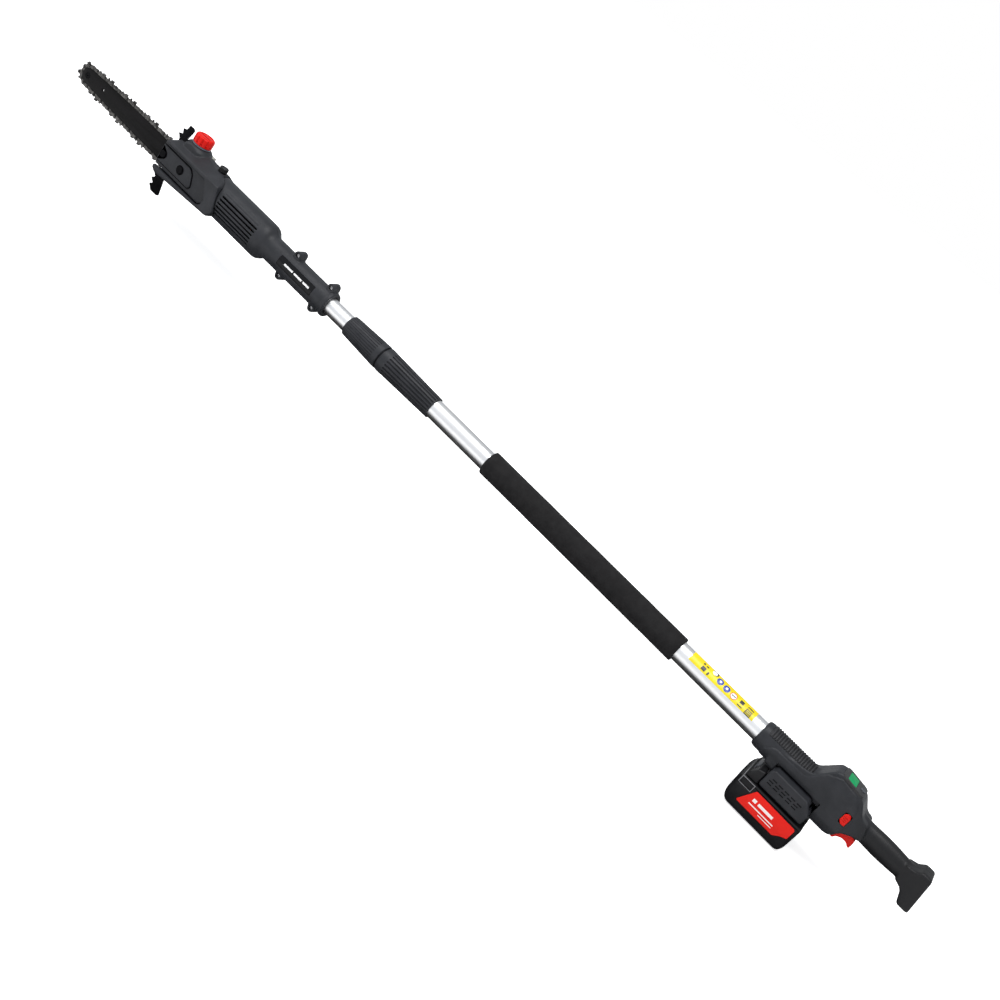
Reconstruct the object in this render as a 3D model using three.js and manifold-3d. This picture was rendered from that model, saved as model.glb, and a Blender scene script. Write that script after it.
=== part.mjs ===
// Telescoping cordless pole saw, built as an assembly of separate pieces.
//
// Millimetres. +X runs along the pole towards the saw, +Z is up and +Y is the operator's left.
// The origin is on the pole's axis, where it meets the flat end of the rear grip.
// The pole is modelled closed, which is how the saw is stored.

import * as THREE from 'three';
import { mergeVertices } from 'three/addons/utils/BufferGeometryUtils.js';
import Module from 'manifold-3d';

const kernel = await Module();
kernel.setup();

// ---------------------------------------------------------------- driving sizes

const GAP = 0.3; // left between pieces that touch
const ROUND = 24; // sides of a large round piece
const SMALL_ROUND = 12; // sides of a pin, screw or boss

// telescoping pole
const POLE_R = 16;
const POLE_WALL = 1.3;
const SLIDE_CLEARANCE = 0.4; // inner tube in outer tube, each side
const INNER_WALL = 1.3;
const TUBE_START = 196;
const OUTER_TUBE_LENGTH = 874;
const INNER_TUBE_TAIL = 770; // length of inner tube hidden in the outer one when closed
const SHOWN_INNER_TUBE = 46; // inner tube that shows between lock and neck when closed
const FOAM_START = 450;
const FOAM_LENGTH = 391;
const FOAM_THICKNESS = 4.5;
const LABEL_START = 311;
const LABEL_LENGTH = 120;
const LEAD_R = 9; // outside of the coiled lead

// twist lock
const SLEEVE_LENGTH = 113;
const SLEEVE_PAST_TUBE = 4;
const SLEEVE_WALL = 2;
const SLEEVE_FLARE = 2.8;
const NUT_GAP = 3;
const NUT_LENGTH = 76;
const THREAD_LENGTH = 20;
const COLLET_WALL = 2;

// rear housing
const HOUSING_FRONT = 292;
const BARREL_WALL = 5.3;
const PAD_THICKNESS = 1.4;
const GRIP_HALF_WIDTH = 15;
const GRIP_Z = 3.5;
const BODY_HALF_WIDTH = 21;
const FOOT_HALF_WIDTH = 18;
const FOOT_TILT = 0.145; // x gained per unit of z on the flat rear end
const SHELL_WALL = 3;
const TRIGGER_HALF_WIDTH = 6.5;
const TRIGGER_CLEARANCE = 0.7;

// battery and its dock
const PACK_HALF_WIDTH = 38;
const PACK_REAR = 163;
const PACK_LENGTH = 110;
const PACK_CASE_HEIGHT = 47; // of the lower case, up to its deck
const DOCK_REAR = 171;
const DOCK_LENGTH = 76;
const DOCK_HEIGHT = 32;
const DOCK_ABOVE_TUBE_FLOOR = 6; // the dock's shoulders, over the lowest line of the tube
const DOCK_TO_DECK = 8;
const RAIL_HALF_WIDTH = 30;
const RAIL_NECK_HALF_WIDTH = 25;
const CELL_R = 9;
const CELL_LENGTH = 65;

// neck and motor housing
const NECK_LENGTH = 140;
const NECK_WALL = 6.9;
const SHOULDER_LENGTH = 15;
const MOTOR_HOUSING_LENGTH = 120;
const MOTOR_HOUSING_R = 32;
const MOTOR_HOUSING_WALL = 2.6;
const MOTOR_HOUSING_SQUASH = 0.953; // width over height
const MOTOR_R = 20;
const MOTOR_LENGTH = 62;
const VENT_ANGLES = [30, 18, 6, -6, -18, -30];

// saw head
const BAR_Y = 18.5; // middle of the bar, to the left of the pole's axis
const BAR_Z = -2.7; // the bar, the sprocket and the motor share this height
const BAR_THICKNESS = 4.8;
const BAR_HALF_HEIGHT = 16.4;
const NOSE_R = 12.5;
const NOSE_FROM_HEAD = 313.7; // nose sprocket's axle, forward of the head's rear face
const BELLY_FROM_HEAD = 146; // where the rails start to curve in
const CHAIN_PITCH = 9.525; // rivet to rivet
const CHAIN_DRIVE_LINKS = 36;
const STRAP_HEIGHT = 6.5;
const CUTTER_RISE = 3.1; // cutter above its strap
const CHAIN_WIDTH = 5;
const CUTTER_WIDTH = 8;
const RAIL_CLEARANCE = 0.3;
const CASING_NEAR = 35;
const CASING_FAR = -30;
const CASING_FLOOR = 11.4; // y of the wall that the bar is clamped to
const STUD_SPACING = 42;
const STUD_R = 4;
const SHAFT_R = 4;
const GEAR_R = 16;
const PINION_R = 7;
const BEARING_R = 11;
const GEAR_ROOM_R = 21;
const CAP_R = 16.5;
const CAP_HEIGHT = 15;
const FILLER_R = 12.5; // outside of the tank's neck, which the cap closes

// ---------------------------------------------------------------- worked out from them

const innerR = POLE_R - POLE_WALL - SLIDE_CLEARANCE;
const innerBore = innerR - INNER_WALL;
const tubeEnd = TUBE_START + OUTER_TUBE_LENGTH;
const sleeveEnd = tubeEnd + SLEEVE_PAST_TUBE;
const sleeveStart = sleeveEnd - SLEEVE_LENGTH;
const sleeveR = POLE_R + SLEEVE_WALL + SLEEVE_FLARE;
const nutStart = sleeveEnd + NUT_GAP;
const nutEnd = nutStart + NUT_LENGTH;
const neckStart = nutEnd + SHOWN_INNER_TUBE;
const neckEnd = neckStart + NECK_LENGTH;
const neckR = innerR + NECK_WALL;
const housingStart = neckEnd + SHOULDER_LENGTH;
const headX = housingStart + MOTOR_HOUSING_LENGTH;
const barrelR = POLE_R + BARREL_WALL;
const packFront = PACK_REAR + PACK_LENGTH;
const dockFront = DOCK_REAR + DOCK_LENGTH;
const dockTop = DOCK_ABOVE_TUBE_FLOOR - POLE_R;
const dockBottom = dockTop - DOCK_HEIGHT;
const packDeck = dockBottom - DOCK_TO_DECK;
const packBottom = packDeck - PACK_CASE_HEIGHT;

// ---------------------------------------------------------------- solids

function toSolid(geometry) {
  const bare = geometry.clone();
  bare.deleteAttribute('normal');
  bare.deleteAttribute('uv');
  const merged = mergeVertices(bare, 1e-4);
  return new kernel.Manifold(new kernel.Mesh({
    numProp: 3,
    vertProperties: merged.attributes.position.array,
    triVerts: Uint32Array.from(merged.index.array),
  }));
}

function toGeometry(solid) {
  const mesh = solid.getMesh();
  const geometry = new THREE.BufferGeometry();
  geometry.setAttribute('position', new THREE.BufferAttribute(mesh.vertProperties, 3));
  geometry.setIndex(new THREE.BufferAttribute(mesh.triVerts, 1));
  return geometry;
}

const join = (...solids) => solids.reduce((whole, piece) => whole.add(piece));
const cut = (solid, ...tools) => tools.reduce((rest, tool) => rest.subtract(tool), solid);

function box(x0, x1, y0, y1, z0, z1) {
  const geometry = new THREE.BoxGeometry(x1 - x0, y1 - y0, z1 - z0);
  return toSolid(geometry.translate((x0 + x1) / 2, (y0 + y1) / 2, (z0 + z1) / 2));
}

function rodX(radius, x0, x1, y = 0, z = 0, sides = ROUND) {
  const geometry = new THREE.CylinderGeometry(radius, radius, x1 - x0, sides);
  return toSolid(geometry.rotateZ(-Math.PI / 2).translate((x0 + x1) / 2, y, z));
}

function rodY(radius, x, y0, y1, z, sides = SMALL_ROUND) {
  const geometry = new THREE.CylinderGeometry(radius, radius, y1 - y0, sides);
  return toSolid(geometry.translate(x, (y0 + y1) / 2, z));
}

function rodZ(radius, x, y, z0, z1, sides = SMALL_ROUND) {
  const geometry = new THREE.CylinderGeometry(radius, radius, z1 - z0, sides);
  return toSolid(geometry.rotateX(Math.PI / 2).translate(x, y, (z0 + z1) / 2));
}

// A turned piece on the X axis, from [x, radius] pairs that run forward along its outside.
function turnedX(profile, sides = ROUND) {
  const points = profile.map(([x, r]) => new THREE.Vector2(r, x));
  return toSolid(new THREE.LatheGeometry(points, sides).rotateZ(-Math.PI / 2));
}

// A turned piece on the Z axis through (x, y), from [z, radius] pairs that run upward.
function turnedZ(profile, x, y, sides = ROUND) {
  const points = profile.map(([z, r]) => new THREE.Vector2(r, z));
  return toSolid(new THREE.LatheGeometry(points, sides).rotateX(Math.PI / 2).translate(x, y, 0));
}

// A turned piece on a line along Y through (x, z), from [y, radius] pairs that run towards +Y.
function turnedY(profile, x, z, sides = ROUND) {
  const points = profile.map(([y, r]) => new THREE.Vector2(r, y));
  return toSolid(new THREE.LatheGeometry(points, sides).translate(x, 0, z));
}

const outline = (points) => new THREE.Shape(points.map(([x, y]) => new THREE.Vector2(x, y)));

// A rectangle with its corners rounded, from (x0, y0) to (x1, y1).
function roundedRectangle(x0, x1, y0, y1, radius) {
  const shape = new THREE.Shape();
  shape.moveTo(x0 + radius, y0);
  shape.lineTo(x1 - radius, y0);
  shape.quadraticCurveTo(x1, y0, x1, y0 + radius);
  shape.lineTo(x1, y1 - radius);
  shape.quadraticCurveTo(x1, y1, x1 - radius, y1);
  shape.lineTo(x0 + radius, y1);
  shape.quadraticCurveTo(x0, y1, x0, y1 - radius);
  shape.lineTo(x0, y0 + radius);
  shape.quadraticCurveTo(x0, y0, x0 + radius, y0);
  return shape;
}

// An outline in X and Y, given height from z0 to z1.
function plateZ(shape, z0, z1) {
  const options = { depth: z1 - z0, bevelEnabled: false, curveSegments: 4 };
  return toSolid(new THREE.ExtrudeGeometry(shape, options).translate(0, 0, z0));
}

// An outline in X and Z, given thickness from y0 to y1. Its edges are rounded by `round`.
function plateY(shape, y0, y1, round = 0, steps = 2) {
  const geometry = new THREE.ExtrudeGeometry(shape, {
    depth: y1 - y0 - 2 * round,
    bevelEnabled: round > 0,
    bevelSize: round,
    bevelThickness: round,
    bevelOffset: -round,
    bevelSegments: steps,
    curveSegments: 8,
  });
  return toSolid(geometry.rotateX(Math.PI / 2).translate(0, y1 - round, 0));
}

// An outline in Y and Z, given thickness from x0 to x1.
function plateX(shape, x0, x1) {
  const options = { depth: x1 - x0, bevelEnabled: false, curveSegments: 10 };
  const geometry = new THREE.ExtrudeGeometry(shape, options);
  return toSolid(geometry.rotateX(Math.PI / 2).rotateZ(Math.PI / 2).translate(x0, 0, 0));
}

// A band of a tube on the X axis, between two angles measured from +Y up towards +Z.
function bandX(r0, r1, x0, x1, from, to) {
  const shape = new THREE.Shape();
  shape.absarc(0, 0, r1, THREE.MathUtils.degToRad(from), THREE.MathUtils.degToRad(to), false);
  shape.absarc(0, 0, r0, THREE.MathUtils.degToRad(to), THREE.MathUtils.degToRad(from), true);
  return plateX(shape, x0, x1);
}

const saw = new THREE.Group();

function piece(name, solid, { color, roughness = 0.6, metalness = 0 }) {
  const material = new THREE.MeshStandardMaterial({ color, roughness, metalness });
  const mesh = new THREE.Mesh(toGeometry(solid), material);
  mesh.name = name;
  saw.add(mesh);
}

// ---------------------------------------------------------------- finishes

const CHARCOAL = { color: 0x3c3d41 };
const DARK = { color: 0x232326, roughness: 0.55 };
const RUBBER = { color: 0x2b2a2c, roughness: 0.9 };
const FOAM = { color: 0x262527, roughness: 1 };
const ALUMINIUM = { color: 0xc9cbcd, roughness: 0.35, metalness: 1 };
const STEEL = { color: 0x8d9094, roughness: 0.35, metalness: 1 };
const BLACK_STEEL = { color: 0x232124, roughness: 0.45, metalness: 0.8 };
const RED = { color: 0xe02a1e, roughness: 0.45 };
const YELLOW = { color: 0xf6e000, roughness: 0.5 };
const GREEN = { color: 0x2aa868, roughness: 0.2 };
const GREY = { color: 0x6d7078, roughness: 0.6 };
const COPPER = { color: 0x9c5a34, roughness: 0.4, metalness: 1 };
const BLUE = { color: 0x2f6fb0, roughness: 0.5 };

// ---------------------------------------------------------------- pole

function buildPole() {
  const innerStart = tubeEnd - INNER_TUBE_TAIL;
  const innerEnd = neckEnd - 10;
  piece('outer_tube', cut(
    rodX(POLE_R, TUBE_START, tubeEnd),
    rodX(POLE_R - POLE_WALL, TUBE_START - 1, tubeEnd + 1),
  ), ALUMINIUM);
  piece('inner_tube', cut(
    rodX(innerR, innerStart, innerEnd),
    rodX(innerBore, innerStart - 1, innerEnd + 1),
  ), ALUMINIUM);
  const labelEnd = LABEL_START + LABEL_LENGTH;
  piece('tube_label', bandX(POLE_R + 0.15, POLE_R + 0.5, LABEL_START, labelEnd, 26, 95), YELLOW);
  piece('foam_grip', cut(
    turnedX([
      [FOAM_START, 0],
      [FOAM_START, POLE_R + FOAM_THICKNESS - 1],
      [FOAM_START + 2, POLE_R + FOAM_THICKNESS],
      [FOAM_START + FOAM_LENGTH - 2, POLE_R + FOAM_THICKNESS],
      [FOAM_START + FOAM_LENGTH, POLE_R + FOAM_THICKNESS - 1],
      [FOAM_START + FOAM_LENGTH, 0],
    ]),
    rodX(POLE_R + GAP, FOAM_START - 1, FOAM_START + FOAM_LENGTH + 1),
  ), FOAM);
  piece('coiled_lead', rodX(LEAD_R, TUBE_START + 6, neckEnd + 6, 0, 0, 12), DARK);
}

function buildTwistLock() {
  const noseR = sleeveR - 2.6;
  const noseEnd = nutStart + THREAD_LENGTH;
  piece('lock_sleeve', cut(
    turnedX([
      [sleeveStart, 0],
      [sleeveStart, POLE_R + SLEEVE_WALL],
      [sleeveEnd - 8, sleeveR],
      [sleeveEnd, sleeveR],
      [sleeveEnd, noseR],
      [noseEnd, noseR],
      [noseEnd, 0],
    ]),
    rodX(POLE_R + GAP, sleeveStart - 1, tubeEnd + GAP),
    rodX(innerR + SLIDE_CLEARANCE, tubeEnd, noseEnd + 1),
  ), CHARCOAL);
  piece('lock_nut', cut(
    turnedX([
      [nutStart, 0],
      [nutStart, sleeveR],
      [nutStart + 6, sleeveR],
      [nutEnd - 3, innerR + 3.6],
      [nutEnd, innerR + 3],
      [nutEnd, 0],
    ]),
    rodX(noseR + GAP, nutStart - 1, noseEnd + 2),
    rodX(innerR + COLLET_WALL + 2 * GAP, noseEnd, nutEnd - 13),
    rodX(innerR + SLIDE_CLEARANCE, nutEnd - 14, nutEnd + 1),
  ), CHARCOAL);
  const colletStart = noseEnd + 2.4;
  const colletEnd = nutEnd - 14;
  piece('lock_collet', cut(
    rodX(innerR + COLLET_WALL, colletStart, colletEnd),
    rodX(innerR + 0.1, colletStart - 1, colletEnd + 1),
    box(colletStart - 1, colletEnd + 1, -1, 1, 0, innerR + COLLET_WALL + 1),
  ), GREY);
}

// ---------------------------------------------------------------- rear housing

const TRIGGER_PIVOT = { x: 129, z: -13 };
const BEZEL = {
  x: 158, z: 44.2, tilt: THREE.MathUtils.degToRad(7.5), length: 40, halfWidth: 18.5, depth: 3,
};

// A flat block on the sloping top of the control bulge, `rise` above the slope.
function onBezel(along, length, halfWidth, rise, depth) {
  const geometry = new THREE.BoxGeometry(length, 2 * halfWidth, depth);
  geometry.translate(along, 0, rise - depth / 2).rotateY(-BEZEL.tilt);
  return toSolid(geometry.translate(BEZEL.x, 0, BEZEL.z));
}

// The grip is a slim barrel, oval across, that the hand closes round.
function gripSolid() {
  const profile = [
    [20, 0], [20, 14.5], [42, 15.6], [78, 17.4], [104, 16.6], [124, 18.5], [140, 18.5], [140, 0],
  ];
  const points = profile.map(([x, r]) => new THREE.Vector2(r, x));
  const geometry = new THREE.LatheGeometry(points, ROUND).rotateZ(-Math.PI / 2);
  geometry.scale(1, GRIP_HALF_WIDTH / 17.4, 1).translate(0, 0, GRIP_Z);
  return toSolid(geometry);
}

function footShape() {
  const rearX = (z) => FOOT_TILT * z;
  const shape = new THREE.Shape();
  shape.moveTo(rearX(22), 22);
  shape.lineTo(rearX(-29), -29);
  shape.quadraticCurveTo(rearX(-33), -33.5, 0, -33.5);
  shape.lineTo(10, -33.5);
  shape.quadraticCurveTo(16, -32, 20, -24);
  shape.quadraticCurveTo(26, -12, 38, -11);
  shape.lineTo(38, 16);
  shape.quadraticCurveTo(28, 17, 23, 22);
  shape.quadraticCurveTo(19, 26, 14, 26);
  shape.lineTo(8, 26);
  shape.quadraticCurveTo(rearX(26), 26, rearX(22), 22);
  return shape;
}

function bodyShape() {
  return outline([
    [110, 18], [110, -14], [128, -25], [136, -32], [142, -34], [170, -34], [176, -24], [252, -22],
    [278, -22], [286, -18],
    [286, 4], [206, 18], [198, 27], [184, 45], [178, 48], [146, 43.5], [138, 39], [131, 29],
    [122, 21],
  ]);
}

// Across the body the sides are upright, and round in towards the top and the bottom.
function bodySection() {
  const half = [
    [13, -34.5], [18, -31], [BODY_HALF_WIDTH, -22], [BODY_HALF_WIDTH, 30], [19.5, 39], [16.5, 50],
  ];
  return outline([...half, ...half.map(([y, z]) => [-y, z]).reverse()]);
}

function buildHandleShells() {
  const barrel = turnedX([
    [196, 0], [196, barrelR], [HOUSING_FRONT - 8, barrelR], [HOUSING_FRONT - 2, barrelR - 2.6],
    [HOUSING_FRONT, barrelR - 4], [HOUSING_FRONT, 0],
  ]);
  const body = plateY(bodyShape(), -BODY_HALF_WIDTH, BODY_HALF_WIDTH)
    .intersect(plateX(bodySection(), 100, 300));
  const foot = plateY(footShape(), -FOOT_HALF_WIDTH, FOOT_HALF_WIDTH)
    .intersect(plateX(roundedRectangle(-FOOT_HALF_WIDTH, FOOT_HALF_WIDTH, -34, 27, 8), -20, 60));
  const outside = join(barrel, body, foot, gripSolid());

  const dockSeat = box(DOCK_REAR - 1, dockFront + 1, -60, 60, -60, dockTop + 4 + GAP);
  const roomHalfWidth = BODY_HALF_WIDTH - SHELL_WALL;
  const room = join(
    box(138, 184, -roomHalfWidth, roomHalfWidth, dockTop + 8, 36),
    box(138, 194, -roomHalfWidth, roomHalfWidth, dockTop + 8, 26),
    box(106, 139, -12, 12, -9, 12),
    rodX(11, 18, 108, 0, GRIP_Z),
  );
  const triggerSlot = box(
    101.5, 134, -TRIGGER_HALF_WIDTH - TRIGGER_CLEARANCE, TRIGGER_HALF_WIDTH + TRIGGER_CLEARANCE, -45, -6);
  const buttonHole = box(LOCKOFF.x0 - 0.4, LOCKOFF.x1 + 0.4, 8, 30, LOCKOFF.z0 - 0.4, LOCKOFF.z1 + 0.4);
  const bezelSeat = onBezel(0, BEZEL.length + 2 * GAP, BEZEL.halfWidth + GAP, 20, 20 + BEZEL.depth + GAP);
  const boardRoom = onBezel(-2, 40, 15, 0, 12);
  const hollow = cut(
    outside,
    rodX(POLE_R + GAP, TUBE_START - GAP, HOUSING_FRONT + 1),
    rodX(innerBore, 150, 200),
    dockSeat,
    room,
    triggerSlot,
    buttonHole,
    bezelSeat,
    boardRoom,
    rodY(2 + GAP, TRIGGER_PIVOT.x, -12, 12, TRIGGER_PIVOT.z),
    padSolid(GAP),
    ...SCREW_PLACES.map(([x, z]) => screwSolid(x, z, GAP)),
  );
  // a tongue on the right shell closes the seam in the middle of the flat rear end
  const tongue = (extra) => box(-10, 6 + extra, -1, 6 + extra, -7 - extra, 7 + extra);
  const seam = GAP / 2;
  piece('handle_shell_left', cut(hollow, box(-40, 320, -60, seam, -80, 80), tongue(GAP)), CHARCOAL);
  piece('handle_shell_right', join(
    cut(hollow, box(-40, 320, -seam, 60, -80, 80)),
    hollow.intersect(tongue(0)),
  ), CHARCOAL);
}

const LOCKOFF = { x0: 130, x1: 141, z0: -5, z1: 14, face: 23.2, root: 12 };
const SCREW_PLACES = [[24, 2], [150, -18]];

// A screw that comes in from the right side and pulls the two shells together.
function screwSolid(x, z, extra = 0) {
  const headFace = x > 100 && x < 200 ? -BODY_HALF_WIDTH : -17;
  return join(
    rodY(3 + extra, x, headFace + (extra ? -20 : 1.5), headFace + 4.5, z, 12),
    rodY(1.5 + extra, x, headFace + 4, -0.6, z, 8),
  );
}

function padSolid(extra = 0) {
  const inner = barrelR - 1.2 - extra;
  const outer = barrelR + PAD_THICKNESS + extra;
  return bandX(inner, outer, 207 - extra, 282 + extra, 38 - extra, 142 + extra);
}

function buildHandleFittings() {
  piece('grip_pad', padSolid(), RUBBER);
  SCREW_PLACES.forEach(([x, z], index) => piece(`handle_screw_${index + 1}`, screwSolid(x, z), STEEL));

  const plate = onBezel(0, BEZEL.length, BEZEL.halfWidth, 0.6, BEZEL.depth + 0.6);
  const lensSeat = onBezel(4.5, 15 + 2 * GAP, 13 + GAP, 2, 3.2);
  const buttonHoleGeometry = new THREE.CylinderGeometry(4.8, 4.8, 20, SMALL_ROUND).rotateX(Math.PI / 2);
  buttonHoleGeometry.translate(-15, 0, 0).rotateY(-BEZEL.tilt).translate(BEZEL.x, 0, BEZEL.z);
  piece('display_bezel', cut(plate, lensSeat, toSolid(buttonHoleGeometry)), DARK);
  piece('display_lens', onBezel(4.5, 15, 13, 0.9, 1.7), GREEN);
  const buttonGeometry = new THREE.CylinderGeometry(4.4, 4.4, 5, SMALL_ROUND).rotateX(Math.PI / 2);
  buttonGeometry.translate(-15, 0, -0.5).rotateY(-BEZEL.tilt).translate(BEZEL.x, 0, BEZEL.z);
  piece('power_button', toSolid(buttonGeometry), GREY);
  piece('control_board', onBezel(-2, 36, 13, -6.5, 1.6), GREEN);

  const { x0, x1, z0, z1, face, root } = LOCKOFF;
  const buttonShape = outline([[x0, z0], [x1, z0], [x1, z1 - 4], [x1 - 4, z1], [x0 + 4, z1], [x0, z1 - 4]]);
  piece('lockoff_button', plateY(buttonShape, root, face, 1, 1), RED);
  piece('switch_module', box(108, 137, -7.5, 7.5, -5.6, 9), DARK);
}

function buildTrigger() {
  const shape = new THREE.Shape();
  shape.moveTo(132.5, -9.5);
  shape.lineTo(132.5, -35.5);
  shape.quadraticCurveTo(129, -35, 127, -30.5);
  shape.quadraticCurveTo(122, -25.5, 114, -25.5);
  shape.quadraticCurveTo(108, -25.5, 105.5, -30);
  shape.quadraticCurveTo(103.5, -30, 103.5, -26);
  shape.lineTo(104.5, -14.5);
  shape.lineTo(124, -9.5);
  const pivotHole = rodY(1.8 + 0.2, TRIGGER_PIVOT.x, -20, 20, TRIGGER_PIVOT.z);
  piece('trigger', cut(plateY(shape, -TRIGGER_HALF_WIDTH, TRIGGER_HALF_WIDTH), pivotHole), RED);
  piece('trigger_pin', rodY(1.8, TRIGGER_PIVOT.x, -11.6, 11.6, TRIGGER_PIVOT.z), STEEL);
}

// ---------------------------------------------------------------- battery and dock

function buildDock() {
  const shape = outline([
    [DOCK_REAR, dockBottom], [dockFront, dockBottom], [dockFront, dockTop - 6], [dockFront - 5, dockTop],
    [DOCK_REAR + 12, dockTop], [DOCK_REAR, dockTop - 14],
  ]);
  const top = box(DOCK_REAR, dockFront, -17, 17, dockTop - 3, dockTop + 4);
  const wide = RAIL_HALF_WIDTH + 1;
  const neck = RAIL_NECK_HALF_WIDTH + 1;
  piece('battery_dock', cut(
    join(plateY(shape, -PACK_HALF_WIDTH, PACK_HALF_WIDTH, 3, 2), top),
    box(DOCK_REAR + 5, dockFront + 1, -wide, wide, dockBottom + 5, dockTop - 5),
    box(DOCK_REAR + 5, dockFront + 1, -neck, neck, dockBottom - 1, dockBottom + 6),
    rodX(POLE_R + GAP, TUBE_START - GAP, dockFront + 1),
  ), DARK);
  piece('terminal_block', box(DOCK_REAR + 14, DOCK_REAR + 46, -9, 9, dockTop - 11.4, dockTop - 6.6), GREY);
}

function packShape() {
  const shape = new THREE.Shape();
  shape.moveTo(packFront - 2, packDeck);
  shape.lineTo(PACK_REAR, packDeck);
  shape.lineTo(PACK_REAR + 1.5, packBottom + 16);
  shape.quadraticCurveTo(PACK_REAR + 4, packBottom, PACK_REAR + 17, packBottom);
  shape.lineTo(packFront - 24, packBottom);
  shape.quadraticCurveTo(packFront - 4, packBottom, packFront - 1, packBottom + 20);
  shape.lineTo(packFront, packDeck - 8);
  return shape;
}

function buildBattery() {
  const inner = PACK_HALF_WIDTH - 2.5;
  const fromFront = roundedRectangle(-PACK_HALF_WIDTH, PACK_HALF_WIDTH, packBottom, 0, 6);
  const fromAbove = roundedRectangle(PACK_REAR, packFront, -PACK_HALF_WIDTH, PACK_HALF_WIDTH, 7);
  piece('battery_case_lower', cut(
    plateY(packShape(), -PACK_HALF_WIDTH, PACK_HALF_WIDTH)
      .intersect(plateX(fromFront, PACK_REAR - 1, packFront + 1))
      .intersect(plateZ(fromAbove, packBottom - 1, 0)),
    box(PACK_REAR + 5, packFront - 6, -inner, inner, packBottom + 8, packDeck + 1),
  ), DARK);

  const deckShape = outline([
    [PACK_REAR + 1, packDeck + GAP], [packFront - 3, packDeck + GAP], [packFront - 6, packDeck + 4],
    [PACK_REAR + 2, packDeck + 4],
  ]);
  const towerRear = DOCK_REAR + 5.6;
  const towerFront = dockFront + 2;
  const noseShape = outline([
    [dockFront + 1, packDeck + 3], [packFront - 5, packDeck + 3], [packFront - 8, packDeck + 12],
    [packFront - 14, packDeck + 23], [dockFront + 4, packDeck + 25.5], [dockFront + 1, packDeck + 25.5],
  ]);
  const latchSeat = plateY(latchShape(0.5), -LATCH_HALF_WIDTH - 0.5, LATCH_HALF_WIDTH + 0.5);
  const tower = join(
    box(towerRear, towerFront, -RAIL_NECK_HALF_WIDTH, RAIL_NECK_HALF_WIDTH, packDeck + 3, dockBottom + 6),
    box(towerRear, towerFront, -RAIL_HALF_WIDTH, RAIL_HALF_WIDTH, dockBottom + 5.6, dockTop - 13),
  );
  const rearHook = box(PACK_REAR + 1.5, DOCK_REAR - 0.6, -16, 16, packDeck + 3, dockBottom - 0.5);
  piece('battery_case_upper', cut(
    join(plateY(deckShape, -PACK_HALF_WIDTH, PACK_HALF_WIDTH), tower, rearHook, plateY(noseShape, -26, 26)),
    latchSeat,
    box(DOCK_REAR + 12, dockFront - 8, -20, 20, packDeck - 1, dockTop - 16),
  ), DARK);
  piece('battery_latch', plateY(latchShape(0), -LATCH_HALF_WIDTH, LATCH_HALF_WIDTH), GREY);

  const columns = 5;
  const spacing = (packFront - PACK_REAR - 13) / columns;
  const cells = [];
  for (let row = 0; row < 2; row += 1) {
    for (let column = 0; column < columns; column += 1) {
      const x = PACK_REAR + 6.5 + spacing * (column + 0.5);
      const z = packBottom + 9.5 + CELL_R + row * (2 * CELL_R + 0.6);
      cells.push(rodY(CELL_R, x, -CELL_LENGTH / 2, CELL_LENGTH / 2, z, 10));
    }
  }
  const holder = box(
    PACK_REAR + 7, packFront - 8, -4, 4, packBottom + 9, packBottom + 9 + 4 * CELL_R);
  piece('battery_cells', join(holder, ...cells), BLUE);

  const label = new THREE.Shape();
  const labelBottom = packDeck - 31.5;
  label.moveTo(240, packDeck - 0.6);
  label.lineTo(172, packDeck - 1.5);
  label.lineTo(169.5, packDeck - 4);
  label.lineTo(169.5, packDeck - 20);
  label.lineTo(178, packDeck - 24);
  label.lineTo(187, labelBottom);
  label.lineTo(254, labelBottom);
  piece('battery_label', plateY(label, PACK_HALF_WIDTH + 0.1, PACK_HALF_WIDTH + 0.7), RED);
}

const LATCH_HALF_WIDTH = 14;
const LATCH_ROOM = 4.5; // left under the key for its travel

// The release key lies in the sloping front of the pack's nose and slides down the slope.
function latchShape(extra) {
  const low = packDeck + 9 - (extra ? LATCH_ROOM : 0);
  const back = 3 * extra;
  return outline([
    [packFront - 7.4 + extra, low], [packFront - 8 + extra, packDeck + 16 + extra],
    [packFront - 12.5 + extra, packDeck + 22 + extra], [packFront - 16 - back, packDeck + 20 + extra],
    [packFront - 13 - back, low],
  ]);
}

// ---------------------------------------------------------------- neck and motor

// The left shell stops short where the head casing's near side reaches behind it.
const SHELL_NOTCH = 9;
const SHELL_NOTCH_Y = 20;

const UPPER_BOSSES = [neckStart + 12, neckStart + 90];
const LOWER_BOSSES = [neckStart + 22, neckStart + 100];
const BOSS_R = 7;
const BOSS_HALF_DEPTH = 10;
const bossPlaces = [
  ...UPPER_BOSSES.map((x) => [x, neckR + 4.5]),
  ...LOWER_BOSSES.map((x) => [x, -neckR - 0.5]),
];

function neckScrew(x, z, extra = 0) {
  return join(
    rodY(3.1 + extra, x, BOSS_HALF_DEPTH - 5 - extra, BOSS_HALF_DEPTH + (extra ? 10 : -2), z, 12),
    rodY(1.6 + extra, x, -BOSS_HALF_DEPTH + 2, BOSS_HALF_DEPTH - 4, z, 8),
  );
}

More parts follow.
